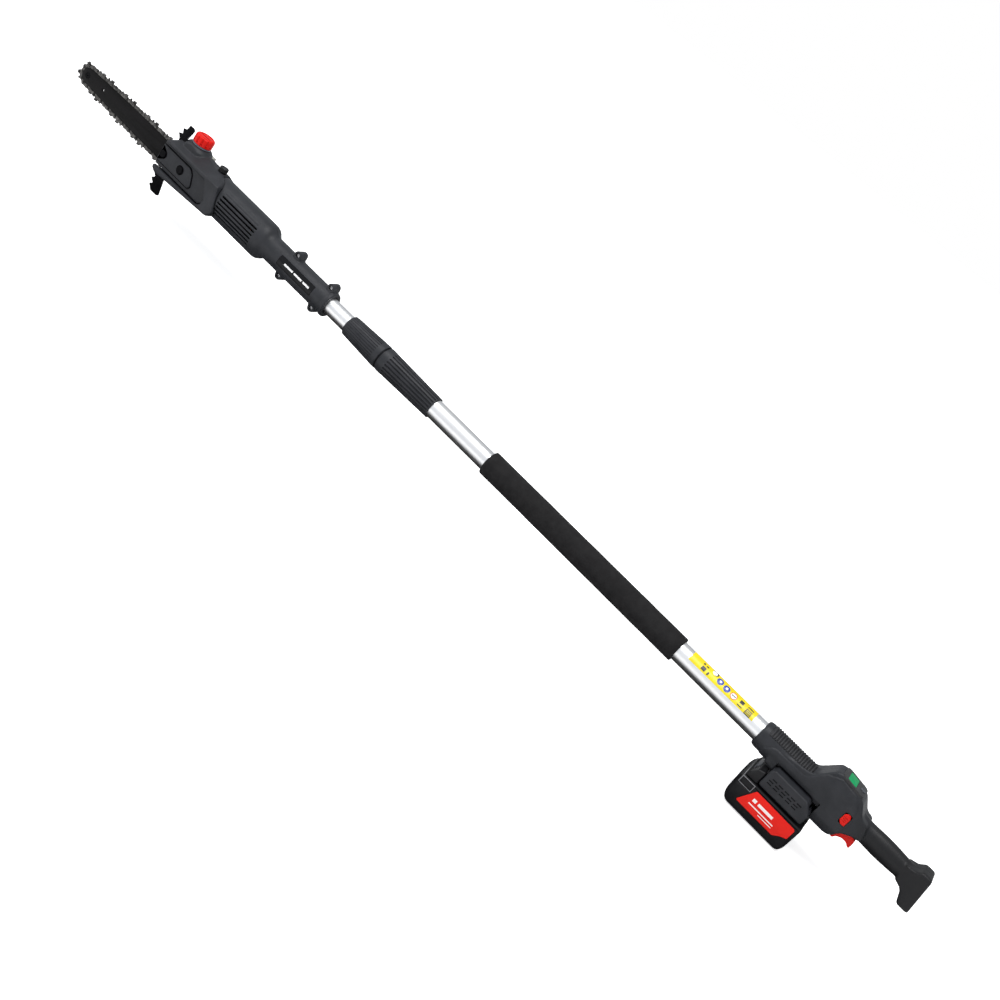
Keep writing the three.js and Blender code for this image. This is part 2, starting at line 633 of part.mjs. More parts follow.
function buildMotorShells() {
  const squash = (solid) => toSolid(toGeometry(solid).scale(1, MOTOR_HOUSING_SQUASH, 1));
  const neck = turnedX([
    [neckStart, 0], [neckStart, neckR + 1], [neckStart + 6, neckR], [neckEnd + 4, neckR], [neckEnd + 4, 0],
  ]);
  const housing = squash(turnedX([
    [neckEnd, 0], [neckEnd, neckR + 0.5], [housingStart - 4, MOTOR_HOUSING_R - 3],
    [housingStart + 4, MOTOR_HOUSING_R],
    [headX + 3.4, MOTOR_HOUSING_R], [headX + 3.4, 0],
  ]));
  const hollowR = MOTOR_HOUSING_R - MOTOR_HOUSING_WALL;
  const hollow = squash(turnedX([
    [neckEnd + 6, 0], [neckEnd + 6, neckR - 4], [housingStart + 3, hollowR], [headX + 5, hollowR],
    [headX + 5, 0],
  ]));
  const bosses = bossPlaces.map(([x, z]) => join(
    rodY(BOSS_R, x, -BOSS_HALF_DEPTH, BOSS_HALF_DEPTH, z),
    box(x - BOSS_R, x + BOSS_R, -BOSS_HALF_DEPTH, BOSS_HALF_DEPTH, Math.min(z, 0), Math.max(z, 0)),
  ));
  const vents = [1, -1].flatMap((side) => VENT_ANGLES.map((angle) => {
    const geometry = new THREE.BoxGeometry(84, 12, 2.6).translate(housingStart + 52, hollowR + 3, 0);
    return toSolid(geometry.rotateX(THREE.MathUtils.degToRad(side > 0 ? angle : 180 - angle)));
  }));
  const shells = cut(
    join(neck, housing, ...bosses),
    rodX(innerR + GAP, neckStart - 1, neckEnd - 9),
    rodX(12, neckEnd - 10, neckEnd + 8),
    hollow,
    box(headX - SHELL_NOTCH, headX + 10, SHELL_NOTCH_Y, 60, -60, 60),
    ...vents,
    badgeSolid(GAP),
    ...bossPlaces.map(([x, z]) => neckScrew(x, z, GAP)),
  );
  piece('motor_shell_left', cut(shells, box(neckStart - 5, headX + 10, -60, 0.15, -60, 60)), CHARCOAL);
  piece('motor_shell_right', cut(shells, box(neckStart - 5, headX + 10, -0.15, 60, -60, 60)), CHARCOAL);
  bossPlaces.forEach(([x, z], index) => piece(`neck_screw_${index + 1}`, neckScrew(x, z), STEEL));
  piece('neck_badge', badgeSolid(), DARK);
}

function badgeSolid(extra = 0) {
  const start = neckStart + 30 - extra;
  const end = neckStart + 108 + extra;
  return bandX(neckR - 1 - extra, neckR + 0.3 + extra, start, end, -12 - extra, 34 + extra);
}

function buildMotor() {
  const front = headX - 23.4;
  const rear = front - MOTOR_LENGTH;
  piece('motor_can', cut(
    rodX(MOTOR_R, rear, front, 0, BAR_Z),
    rodX(MOTOR_R - 2.4, rear + 4, front - 4, 0, BAR_Z),
    rodX(4, rear - 1, front + 1, 0, BAR_Z, SMALL_ROUND),
  ), STEEL);
  piece('motor_rotor', join(
    rodX(MOTOR_R - 3.4, rear + 7, front - 7, 0, BAR_Z, 24),
    rodX(2.5, rear + 1, sprocketX - GEAR_R - 9, 0, BAR_Z, SMALL_ROUND),
  ), COPPER);
  const seat = headX - 20;
  const spider = squashedRod(MOTOR_HOUSING_R - MOTOR_HOUSING_WALL - GAP, seat, seat + 8);
  piece('motor_mount', cut(
    spider,
    rodX(2.5 + GAP, seat - 1, seat + 10, 0, BAR_Z, SMALL_ROUND),
  ), ALUMINIUM);
}

function squashedRod(radius, x0, x1) {
  return toSolid(toGeometry(rodX(radius, x0, x1)).scale(1, MOTOR_HOUSING_SQUASH, 1));
}

// ---------------------------------------------------------------- chain path

// The chain runs round a closed path: straight from the drive sprocket to the belly, a very
// large arc along each rail, and a small arc round the nose. `grow` is the distance outside
// the rails. The straight length is what makes the whole path a whole number of links.
const noseX = headX + NOSE_FROM_HEAD;
const bellyX = headX + BELLY_FROM_HEAD;
const railArcR = ((noseX - bellyX) ** 2 / (BAR_HALF_HEIGHT - NOSE_R) + BAR_HALF_HEIGHT + NOSE_R) / 2;
const railArcAngle = Math.asin((noseX - bellyX) / (railArcR - NOSE_R));
const pitchLine = STRAP_HEIGHT / 2 + RAIL_CLEARANCE;
const curvedLength = 2 * railArcAngle * (railArcR + pitchLine)
  + (Math.PI - 2 * railArcAngle) * (NOSE_R + pitchLine)
  + Math.PI * (BAR_HALF_HEIGHT + pitchLine);
const straightLength = (2 * CHAIN_PITCH * CHAIN_DRIVE_LINKS - curvedLength) / 2;
const sprocketX = bellyX - straightLength;

function loopShape(grow, rear = 'round') {
  const shape = new THREE.Shape();
  const high = BAR_HALF_HEIGHT + grow;
  const big = railArcR + grow;
  const small = NOSE_R + grow;
  const arcs = 10;
  const points = [];
  for (let i = 0; i <= arcs; i += 1) {
    const a = (railArcAngle * i) / arcs;
    points.push([bellyX + big * Math.sin(a), -(BAR_HALF_HEIGHT - railArcR) - big * Math.cos(a)]);
  }
  for (let i = 1; i < 16; i += 1) {
    const a = -Math.PI / 2 + railArcAngle + ((Math.PI - 2 * railArcAngle) * i) / 16;
    points.push([noseX + small * Math.cos(a), small * Math.sin(a)]);
  }
  for (let i = arcs; i >= 0; i -= 1) {
    const a = (railArcAngle * i) / arcs;
    points.push([bellyX + big * Math.sin(a), BAR_HALF_HEIGHT - railArcR + big * Math.cos(a)]);
  }
  if (rear === 'round') {
    for (let i = 0; i <= 16; i += 1) {
      const a = Math.PI / 2 + (Math.PI * i) / 16;
      points.push([sprocketX + high * Math.cos(a), high * Math.sin(a)]);
    }
  } else {
    points.push([rear + 4, high], [rear, high - 4], [rear, 4 - high], [rear + 4, -high]);
  }
  points.forEach(([x, z], i) => (i ? shape.lineTo(x, z + BAR_Z) : shape.moveTo(x, z + BAR_Z)));
  shape.closePath();
  return shape;
}

// A point on the chain's path and the direction there, from the distance along it.
function chainAt(distance, grow) {
  const rail = railArcAngle * (railArcR + pitchLine);
  const nose = (Math.PI - 2 * railArcAngle) * (NOSE_R + pitchLine);
  let s = distance;
  if (s < straightLength) {
    return { x: sprocketX + s, z: BAR_Z + BAR_HALF_HEIGHT + grow, angle: 0 };
  }
  s -= straightLength;
  if (s < rail) {
    const a = s / (railArcR + pitchLine);
    const r = railArcR + grow;
    const z = BAR_Z + BAR_HALF_HEIGHT - railArcR + r * Math.cos(a);
    return { x: bellyX + r * Math.sin(a), z, angle: -a };
  }
  s -= rail;
  if (s < nose) {
    const a = railArcAngle + s / (NOSE_R + pitchLine);
    const r = NOSE_R + grow;
    return { x: noseX + r * Math.sin(a), z: BAR_Z + r * Math.cos(a), angle: -a };
  }
  s -= nose;
  if (s < rail) {
    const a = railArcAngle - s / (railArcR + pitchLine);
    const r = railArcR + grow;
    const z = BAR_Z - BAR_HALF_HEIGHT + railArcR - r * Math.cos(a);
    return { x: bellyX + r * Math.sin(a), z, angle: a - Math.PI };
  }
  s -= rail;
  if (s < straightLength) {
    return { x: bellyX - s, z: BAR_Z - BAR_HALF_HEIGHT - grow, angle: -Math.PI };
  }
  s -= straightLength;
  const a = s / (BAR_HALF_HEIGHT + pitchLine);
  const r = BAR_HALF_HEIGHT + grow;
  return { x: sprocketX - r * Math.sin(a), z: BAR_Z - r * Math.cos(a), angle: -Math.PI - a };
}

function buildBarAndChain() {
  const half = BAR_THICKNESS / 2;
  const barRear = sprocketX + BAR_HALF_HEIGHT + 3;
  const slotEnd = frontStudX + 8;
  const slot = box(barRear - 1, slotEnd, BAR_Y - 5, BAR_Y + 5, BAR_Z - STUD_R - GAP, BAR_Z + STUD_R + GAP);
  const axleHole = rodY(5 + GAP, noseX, BAR_Y - 5, BAR_Y + 5, BAR_Z, 24);
  piece('guide_bar', cut(
    plateY(loopShape(0, barRear), BAR_Y - half, BAR_Y + half),
    slot,
    axleHole,
    rodY(1.8, noseX - 40, BAR_Y - 5, BAR_Y + 5, BAR_Z, 12),
  ), BLACK_STEEL);
  piece('nose_sprocket', cut(
    rodY(5, noseX, BAR_Y - half, BAR_Y + half, BAR_Z, 24),
    rodY(1.6, noseX, BAR_Y - 5, BAR_Y + 5, BAR_Z, 12),
  ), STEEL);

  const band = loopShape(RAIL_CLEARANCE + STRAP_HEIGHT);
  band.holes.push(new THREE.Path(loopShape(RAIL_CLEARANCE).getPoints()));
  const cutters = [];
  for (let group = 0; group < CHAIN_DRIVE_LINKS / 3; group += 1) {
    [0, 1].forEach((second) => {
      const along = (group * 3 + second + 0.8) * 2 * CHAIN_PITCH;
      const place = chainAt(along, RAIL_CLEARANCE + STRAP_HEIGHT);
      const side = second ? 1 : -1;
      const geometry = new THREE.BoxGeometry(11, CUTTER_WIDTH / 2 + 0.4, 2 * CUTTER_RISE);
      geometry.translate(0, (side * CUTTER_WIDTH) / 4, 0).rotateY(-place.angle);
      cutters.push(toSolid(geometry.translate(place.x, BAR_Y, place.z)));
    });
  }
  const links = plateY(band, BAR_Y - CHAIN_WIDTH / 2, BAR_Y + CHAIN_WIDTH / 2);
  piece('saw_chain', join(links, ...cutters), STEEL);
}

// ---------------------------------------------------------------- saw head

const rearStudX = headX + 61.5;
const frontStudX = rearStudX + STUD_SPACING;
const capX = headX + 72.5;
const capBottom = 43.5;
const capTop = capBottom + CAP_HEIGHT;
const tank = { x0: headX + 51, x1: headX + 90, y0: -22, y1: 9, z0: 16, z1: 33 };
const collarTop = capBottom - 0.4;
const COVER_FACE = 29.5;
const COVER_THICKNESS = 2.5;
const knobX = headX + 14;

const casingShape = () => outline([
  [-22, -28], [102, -36], [110, -31], [110, 18], [97, 33], [92, 37], [50, 37], [26, 33.5], [4, 33],
  [-10, 29], [-16, 24], [-30, -18],
].map(([dx, z]) => [headX + dx, z]));

const coverShape = (extra) => outline([
  [112, -25 - extra], [112, 18 + extra], [12 - extra, 17 + extra], [-4 - extra, -10],
  [-3 - extra, -19 - extra], [4, -25 - extra],
].map(([dx, z]) => [headX + dx, z]));

function bumperShape() {
  return outline([
    [92, -41], [86, -70], [90, -72], [104, -72], [113, -64], [108, -60], [115, -54], [110, -49],
    [116, -43], [107, -38], [104, -30], [104, 22], [106, 30], [112, 36], [104, 39], [108, 46.5],
    [101, 49], [99, 58], [90, 58], [87, 55], [92, 34], [90, 22], [88, 0], [90, -30],
  ].map(([dx, z]) => [headX + dx, z]));
}

function slopeCutter(side, faceY, faceZ, ridgeY, ridgeZ) {
  const angle = Math.atan2(ridgeZ - faceZ, Math.abs(faceY - ridgeY));
  const geometry = new THREE.BoxGeometry(400, 200, 60).translate(0, 0, 30);
  geometry.rotateX(-side * angle).translate(headX + 40, faceY, faceZ);
  return toSolid(geometry);
}

function buildCasing() {
  const block = plateY(casingShape(), CASING_FAR, CASING_NEAR, 4, 2);
  const turret = cut(
    turnedZ([[20, 0], [20, 26], [34, 24], [39.5, 19.5], [40.5, 17], [40.5, 0]], capX, 0),
    box(headX, headX + 200, 21, 60, 0, 60),
  );
  const outside = join(cut(
    block,
    box(headX - 60, headX + 4, -80, 8, -80, 80),
    slopeCutter(1, CASING_NEAR, 22.5, 2, 36.5),
    slopeCutter(-1, CASING_FAR, 22, -4, 36.5),
  ), turret);
  const chainRoom = plateY(
    loopShape(STRAP_HEIGHT + CUTTER_RISE + 1.2), CASING_FLOOR, COVER_FACE - COVER_THICKNESS - GAP);
  const bumperSlot = join(
    box(headX + 86, headX + 118, CASING_FLOOR, CASING_FLOOR + 3, 18, 60),
    box(headX + 86, headX + 120, CASING_FLOOR, CASING_FLOOR + 3, -60, -24),
  );
  const gearRoom = join(
    rodY(GEAR_ROOM_R, sprocketX, CASING_FAR - 1, 4, BAR_Z, ROUND),
    rodX(PINION_R + 0.6, headX, sprocketX, 0, BAR_Z, ROUND),
    rodY(BEARING_R + GAP, sprocketX, 3, CASING_FLOOR - 1.5, BAR_Z, ROUND),
    rodY(6, sprocketX, 4, CASING_FLOOR + 1, BAR_Z, SMALL_ROUND),
  );
  const motorEnd = cut(
    squashedRod(MOTOR_HOUSING_R + GAP, headX - 70, headX + 4),
    box(headX - SHELL_NOTCH + GAP, headX + 10, SHELL_NOTCH_Y + GAP, 60, -60, 60),
  );
  piece('head_casing', cut(
    outside,
    motorEnd,
    chainRoom,
    plateY(coverShape(GAP), COVER_FACE - COVER_THICKNESS - GAP - 0.1, 60),
    bumperSlot,
    gearRoom,
    box(tank.x0 - GAP, tank.x1 + GAP, tank.y0 - GAP, tank.y1 + GAP, tank.z0 - GAP, tank.z1 + GAP),
    rodZ(FILLER_R + GAP, capX, 0, 20, 60, ROUND),
    ...[rearStudX, frontStudX].map((x) => rodY(STUD_R + 0.2, x, -4.2, CASING_FLOOR + 1, BAR_Z)),
    rodZ(3 + GAP, knobX, 0, 22, 40),
    pumpSolid(GAP),
    rodZ(2, headX + 69, -13, -10, tank.z0, 12),
  ), CHARCOAL);
  piece('sprocket_cover', cut(
    join(
      plateY(coverShape(0), COVER_FACE - COVER_THICKNESS, COVER_FACE),
      plateY(stepShape(), COVER_FACE - 0.5, COVER_FACE + 2, 1, 1),
    ),
    ...[rearStudX, frontStudX].map((x) => rodY(8, x, COVER_FACE - 1, 60, BAR_Z, 24)),
    ...[rearStudX, frontStudX].map((x) => rodY(STUD_R + GAP, x, 0, 60, BAR_Z)),
  ), CHARCOAL);
  piece('gearbox_cover', cut(
    rodY(GEAR_ROOM_R - GAP, sprocketX, CASING_FAR, CASING_FAR + 5, BAR_Z),
    rodY(BEARING_R + GAP, sprocketX, CASING_FAR + 2, 0, BAR_Z, ROUND),
    squashedRod(MOTOR_HOUSING_R + GAP, headX - 70, headX + 4),
  ), DARK);
}

// A raised step in the shape of a U lies round the rear nut, open to the front.
function stepShape() {
  const shape = new THREE.Shape();
  shape.moveTo(headX + 110, -17);
  shape.lineTo(headX + 110, 12);
  shape.lineTo(headX + 46, 12);
  shape.quadraticCurveTo(headX + 38, 6, headX + 31, -13);
  shape.quadraticCurveTo(headX + 31, -17, headX + 37, -17);
  shape.closePath();
  return shape;
}

function pumpSolid(extra = 0) {
  return box(headX + 56 - extra, headX + 82 + extra, -20 - extra, -6 + extra, -20 - extra, -8 + extra);
}

function buildHeadFittings() {
  [['rear', rearStudX], ['front', frontStudX]].forEach(([place, x]) => {
    piece(`bar_stud_${place}`, rodY(STUD_R, x, -4, COVER_FACE + 1.5, BAR_Z), STEEL);
    const hexagon = rodY(6.4, x, COVER_FACE - 0.6, COVER_FACE + 4.5, BAR_Z, 6);
    const flange = rodY(7.4, x, COVER_FACE - 0.6, COVER_FACE + 0.8, BAR_Z, ROUND);
    const thread = rodY(STUD_R + 0.1, x, COVER_FACE - 2, COVER_FACE + 2.4, BAR_Z);
    piece(`cover_nut_${place}`, cut(join(hexagon, flange), thread), BLACK_STEEL);
  });
  piece('spiked_bumper', cut(
    plateY(bumperShape(), CASING_FLOOR + GAP, CASING_FLOOR + 2.6),
    rodY(STUD_R + GAP, frontStudX, 0, 30, BAR_Z),
  ), BLACK_STEEL);

  const wall = 1.6;
  piece('oil_tank', cut(
    join(
      box(tank.x0, tank.x1, tank.y0, tank.y1, tank.z0, tank.z1),
      rodZ(FILLER_R, capX, 0, tank.z1 - 1, capBottom + 9, ROUND),
    ),
    box(tank.x0 + wall, tank.x1 - wall, tank.y0 + wall, tank.y1 - wall, tank.z0 + wall, tank.z1 - wall),
    rodZ(FILLER_R - 2, capX, 0, tank.z1 - 5, capBottom + 20, ROUND),
  ), GREY);
  piece('filler_collar', cut(
    turnedZ([[40.5 + GAP, 0], [40.5 + GAP, 16], [collarTop, 15], [collarTop, 0]], capX, 0),
    rodZ(FILLER_R + 0.2, capX, 0, 30, 60, ROUND),
  ), GREY);
  piece('oil_cap', cut(
    turnedZ([
      [capBottom, 0], [capBottom, CAP_R - 0.8], [capBottom + 1, CAP_R], [capTop - 3, CAP_R],
      [capTop - 0.8, CAP_R - 2], [capTop, CAP_R - 4], [capTop, 0],
    ], capX, 0),
    rodZ(FILLER_R + GAP, capX, 0, capBottom - 1, capBottom + 10.5, ROUND),
  ), RED);
  piece('oil_pump', pumpSolid(), GREY);
  piece('clamp_knob', join(
    rodZ(7.5, knobX, 0, 33.8, 42, 24),
    rodZ(3, knobX, 0, 24, 34, SMALL_ROUND),
  ), DARK);
}

function buildDriveTrain() {
  const toothGap = 0.35;
  const shaftFar = CASING_FAR + 3;
  const shaftNear = COVER_FACE - COVER_THICKNESS - 1.5;
  piece('output_shaft', rodY(SHAFT_R, sprocketX, shaftFar, shaftNear, BAR_Z), STEEL);
  const bearing = (y0, y1) => cut(
    rodY(BEARING_R, sprocketX, y0, y1, BAR_Z, ROUND),
    rodY(SHAFT_R + 0.2, sprocketX, y0 - 1, y1 + 1, BAR_Z),
  );
  piece('shaft_bearing_far', bearing(CASING_FAR + 2.4, CASING_FAR + 9), STEEL);
  piece('shaft_bearing_near', bearing(4.6, CASING_FLOOR - 1.8), STEEL);

  // bevel pair: both pitch cones meet where the two axes cross
  const gearBack = -GEAR_R * (PINION_R / GEAR_R) - toothGap;
  const inner = 0.6;
  const gear = cut(
    turnedY([
      [gearBack - 6, 0], [gearBack - 6, 9], [gearBack - 1, GEAR_R], [gearBack, GEAR_R],
      [gearBack * inner - toothGap, GEAR_R * inner], [gearBack * inner - toothGap, 0],
    ], sprocketX, BAR_Z),
    rodY(SHAFT_R + 0.1, sprocketX, -40, 10, BAR_Z),
  );
  piece('bevel_gear', toothed(gear, 16, GEAR_R * 0.85, gearBack * 0.85 + 0.6), STEEL);
  const pinionBack = sprocketX - GEAR_R - toothGap;
  piece('bevel_pinion', cut(
    turnedX([
      [pinionBack - 6, 0], [pinionBack - 6, PINION_R - 2.5], [pinionBack - 0.8, PINION_R - 0.6],
      [pinionBack, PINION_R - 0.3], [sprocketX - GEAR_R * inner - toothGap, PINION_R * inner - 0.3],
      [sprocketX - GEAR_R * inner - toothGap, 0],
    ], 14).translate([0, 0, BAR_Z]),
    rodX(2.6, pinionBack - 8, sprocketX - GEAR_R - 8.8, 0, BAR_Z, SMALL_ROUND),
  ), STEEL);

  const teeth = 6;
  const tipR = BAR_HALF_HEIGHT - 0.4;
  const rim = new THREE.Shape();
  for (let i = 0; i < teeth * 2; i += 1) {
    const r = i % 2 ? tipR - 4.5 : tipR;
    [-0.3, 0.3].forEach((spread) => {
      const a = ((i + spread) * Math.PI) / teeth;
      const x = sprocketX + r * Math.cos(a);
      const z = BAR_Z + r * Math.sin(a);
      if (i === 0 && spread < 0) rim.moveTo(x, z);
      else rim.lineTo(x, z);
    });
  }
  piece('drive_sprocket', cut(
    join(plateY(rim, BAR_Y - 2, BAR_Y + 2), rodY(8, sprocketX, CASING_FLOOR + 0.5, BAR_Y + 5, BAR_Z, 24)),
    rodY(SHAFT_R + 0.1, sprocketX, 0, 40, BAR_Z),
  ), STEEL);
}

// Straight grooves across the gear's face, `out` from its axis and at height `y`, leave its teeth.
function toothed(gear, count, out, y) {
  const grooves = [];
  for (let i = 0; i < count; i += 1) {
    const geometry = new THREE.BoxGeometry(GEAR_R, 2, 1.6).translate(out, y, 0);
    geometry.rotateY((2 * Math.PI * i) / count);
    grooves.push(toSolid(geometry.translate(sprocketX, 0, BAR_Z)));
  }
  return cut(gear, ...grooves);
}

buildPole();
buildTwistLock();
buildHandleShells();
buildHandleFittings();
buildTrigger();
buildDock();
buildBattery();
buildMotorShells();
buildMotor();
buildBarAndChain();
buildCasing();
buildHeadFittings();
buildDriveTrain();

export default saw;
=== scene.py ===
from math import asin, cos, degrees, pi, radians, sin

import bpy
from mathutils import Matrix, Vector


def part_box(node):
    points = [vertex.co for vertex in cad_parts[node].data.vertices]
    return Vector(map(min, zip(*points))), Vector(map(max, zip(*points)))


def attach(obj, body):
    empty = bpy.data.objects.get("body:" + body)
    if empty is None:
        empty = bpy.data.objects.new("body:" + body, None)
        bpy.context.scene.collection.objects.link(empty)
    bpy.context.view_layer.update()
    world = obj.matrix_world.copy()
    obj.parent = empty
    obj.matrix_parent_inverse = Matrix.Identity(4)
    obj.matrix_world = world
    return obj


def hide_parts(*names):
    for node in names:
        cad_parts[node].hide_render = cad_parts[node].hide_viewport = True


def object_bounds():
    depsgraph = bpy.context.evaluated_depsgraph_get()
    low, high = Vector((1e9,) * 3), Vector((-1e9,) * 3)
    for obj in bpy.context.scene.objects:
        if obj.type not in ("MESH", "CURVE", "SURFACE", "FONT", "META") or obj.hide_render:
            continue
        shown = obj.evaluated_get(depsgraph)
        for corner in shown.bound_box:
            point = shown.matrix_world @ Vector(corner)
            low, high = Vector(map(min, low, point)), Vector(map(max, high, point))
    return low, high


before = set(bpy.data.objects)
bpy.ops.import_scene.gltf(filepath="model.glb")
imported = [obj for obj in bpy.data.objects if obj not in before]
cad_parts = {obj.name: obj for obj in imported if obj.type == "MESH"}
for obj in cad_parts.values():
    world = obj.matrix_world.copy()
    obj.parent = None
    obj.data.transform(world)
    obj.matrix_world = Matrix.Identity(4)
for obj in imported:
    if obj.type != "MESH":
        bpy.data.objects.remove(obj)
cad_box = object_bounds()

mm = 0.001

# ---------------------------------------------------------------- studio
# A white table and a white room light the saw from above. A long black card under the pole is
# seen only in reflections, as in a photographer's studio, and gives the bright tubes a dark edge.

heading, tilt, roll = radians(195.2), radians(67), radians(38.81)
turn_of_camera = (Matrix.Rotation(heading, 3, "Z") @ Matrix.Rotation(tilt, 3, "X")
                  @ Matrix.Rotation(roll, 3, "Z"))
bpy.ops.object.camera_add(location=(0.3258, 1.7136, 0.7236), rotation=turn_of_camera.to_euler())
camera = bpy.context.object
camera.data.lens = 46.8
camera.data.sensor_width = 36
camera.data.clip_start = 0.05
bpy.context.scene.camera = camera
bpy.context.scene.view_settings.view_transform = "Standard"

bpy.ops.object.light_add(type="AREA", location=(0.9, 0.55, 2.0), rotation=(radians(-15), 0, 0))
key_light = bpy.context.object
key_light.data.shape = "RECTANGLE"
key_light.data.size = 2.4
key_light.data.size_y = 0.8
key_light.data.energy = 50

bpy.ops.object.light_add(type="AREA", location=(2.6, 0.6, 1.1), rotation=(radians(-15), radians(62), 0))
front_light = bpy.context.object
front_light.data.size = 1.2
front_light.data.energy = 9

room = bpy.data.worlds.new("white_room")
bpy.context.scene.world = room
room.use_nodes = True
nodes, links = room.node_tree.nodes, room.node_tree.links
nodes.clear()
direction = nodes.new("ShaderNodeTexCoord")
split = nodes.new("ShaderNodeSeparateXYZ")
links.new(direction.outputs["Generated"], split.inputs[0])
side = nodes.new("ShaderNodeMapRange")
side.inputs["From Min"].default_value = -0.5
side.inputs["From Max"].default_value = 0.6
side.inputs["To Min"].default_value = 0.6
side.inputs["To Max"].default_value = 1.0
links.new(split.outputs["Y"], side.inputs["Value"])
lighting = nodes.new("ShaderNodeBackground")
lighting.inputs["Color"].default_value = (0.94, 0.97, 1.0, 1)
path = nodes.new("ShaderNodeLightPath")
dim = nodes.new("ShaderNodeMath")
dim.operation = "MULTIPLY_ADD"
dim.inputs[1].default_value = -0.55
dim.inputs[2].default_value = 1.0
links.new(path.outputs["Is Diffuse Ray"], dim.inputs[0])
fill = nodes.new("ShaderNodeMath")
fill.operation = "MULTIPLY"
links.new(side.outputs["Result"], fill.inputs[0])
links.new(dim.outputs[0], fill.inputs[1])
links.new(fill.outputs[0], lighting.inputs["Strength"])
backdrop = nodes.new("ShaderNodeBackground")
backdrop.inputs["Color"].default_value = (1, 1, 1, 1)
pick = nodes.new("ShaderNodeMixShader")
links.new(path.outputs["Is Camera Ray"], pick.inputs["Fac"])
links.new(lighting.outputs[0], pick.inputs[1])
links.new(backdrop.outputs[0], pick.inputs[2])
surface_out = nodes.new("ShaderNodeOutputWorld")
links.new(pick.outputs[0], surface_out.inputs["Surface"])

floor_gap = 0.4 * mm
bpy.ops.mesh.primitive_circle_add(
    vertices=64, radius=14, fill_type="NGON", location=(0.8, 0, cad_box[0][2] - floor_gap))
table = bpy.context.object
table.name = "table"
white = bpy.data.materials.new("table_white")
white.use_nodes = True
white.node_tree.nodes["Principled BSDF"].inputs["Base Color"].default_value = (0.93, 0.93, 0.93, 1)
white.node_tree.nodes["Principled BSDF"].inputs["Roughness"].default_value = 0.9
white.node_tree.nodes["Principled BSDF"].inputs["Specular IOR Level"].default_value = 0.0
white.node_tree.nodes["Principled BSDF"].inputs["Emission Color"].default_value = (1, 1, 1, 1)
nodes, links = white.node_tree.nodes, white.node_tree.links
path = nodes.new("ShaderNodeLightPath")
lift = nodes.new("ShaderNodeMapRange")
lift.inputs["To Min"].default_value = 0.25
lift.inputs["To Max"].default_value = 0.72
links.new(path.outputs["Is Camera Ray"], lift.inputs["Value"])
links.new(lift.outputs["Result"], nodes["Principled BSDF"].inputs["Emission Strength"])
table.data.materials.append(white)

bpy.ops.mesh.primitive_plane_add(size=1, location=(0.85, -0.09, cad_box[0][2] + 3 * mm))
card = bpy.context.object
card.name = "black_card"
card.scale = (1.7, 0.5, 1)
card.visible_camera = False
card.visible_diffuse = False
card.visible_shadow = False
black = bpy.data.materials.new("card_black")
black.use_nodes = True
nodes, links = black.node_tree.nodes, black.node_tree.links
across = nodes.new("ShaderNodeTexCoord")
split = nodes.new("ShaderNodeSeparateXYZ")
links.new(across.outputs["Object"], split.inputs[0])
fade = nodes.new("ShaderNodeValToRGB")
fade.color_ramp.elements[0].position = 0.3
fade.color_ramp.elements[0].color = (0.02, 0.02, 0.02, 1)
fade.color_ramp.elements[1].position = 0.5
fade.color_ramp.elements[1].color = (0.95, 0.95, 0.95, 1)
links.new(split.outputs["Y"], fade.inputs["Fac"])
links.new(fade.outputs["Color"], nodes["Principled BSDF"].inputs["Base Color"])
black.node_tree.nodes["Principled BSDF"].inputs["Specular IOR Level"].default_value = 0.0
card.data.materials.append(black)

# ---------------------------------------------------------------- pole
# Two drawn aluminium tubes, the upper sliding in the lower. They are satin anodised, so the
# drawing marks run lengthways and the ends are broken by a small chamfer.


def ring_stack(name, profile, sides=96, closed=False):
    """A round piece on the X axis: a ring drawn out through each (x, radius), in metres.

    A closed profile comes back to its start and leaves a bore; an open one is filled at its ends."""
    (x, radius), rest = profile[0], profile[1:]
    bpy.ops.object.select_all(action="DESELECT")
    bpy.ops.mesh.primitive_circle_add(
        vertices=sides, radius=radius, location=(x, 0, 0), rotation=(0, pi / 2, 0))
    piece = bpy.context.object
    piece.name = name
    bpy.ops.object.transform_apply(location=True, rotation=True, scale=True)
    bpy.ops.object.mode_set(mode="EDIT")
    bpy.ops.mesh.select_all(action="SELECT")
    for next_x, next_radius in rest + (profile[:1] if closed else []):
        bpy.ops.mesh.extrude_region_move(TRANSFORM_OT_translate={"value": (next_x - x, 0, 0)})
        grow = next_radius / radius
        bpy.ops.transform.resize(value=(1, grow, grow), center_override=(next_x, 0, 0))
        x, radius = next_x, next_radius
    bpy.ops.mesh.select_all(action="SELECT")
    bpy.ops.mesh.remove_doubles(threshold=1e-6)
    if not closed:
        bpy.ops.mesh.fill_holes(sides=0)
    bpy.ops.mesh.normals_make_consistent(inside=False)
    bpy.ops.object.mode_set(mode="OBJECT")
    return piece


def place(piece, location=(0, 0, 0), rotation=(0, 0, 0), scale=(1, 1, 1)):
    """Moves a finished shape to its place and puts the place into its mesh."""
    bpy.ops.object.select_all(action="DESELECT")
    piece.select_set(True)
    bpy.context.view_layer.objects.active = piece
    piece.location, piece.rotation_euler, piece.scale = location, rotation, scale
    bpy.ops.object.transform_apply(location=True, rotation=True, scale=True)
    return piece


def smooth(piece, angle=32):
    """Soft shading everywhere except across real edges."""
    bpy.ops.object.select_all(action="DESELECT")
    piece.select_set(True)
    bpy.context.view_layer.objects.active = piece
    bpy.ops.object.shade_smooth_by_angle(angle=radians(angle))
    return piece


def number_times(nodes, links, value, factor):
    """A value multiplied by a plain number, as a node."""
    product = nodes.new("ShaderNodeMath")
    product.operation = "MULTIPLY"
    product.inputs[1].default_value = factor
    links.new(value, product.inputs[0])
    return product.outputs[0]


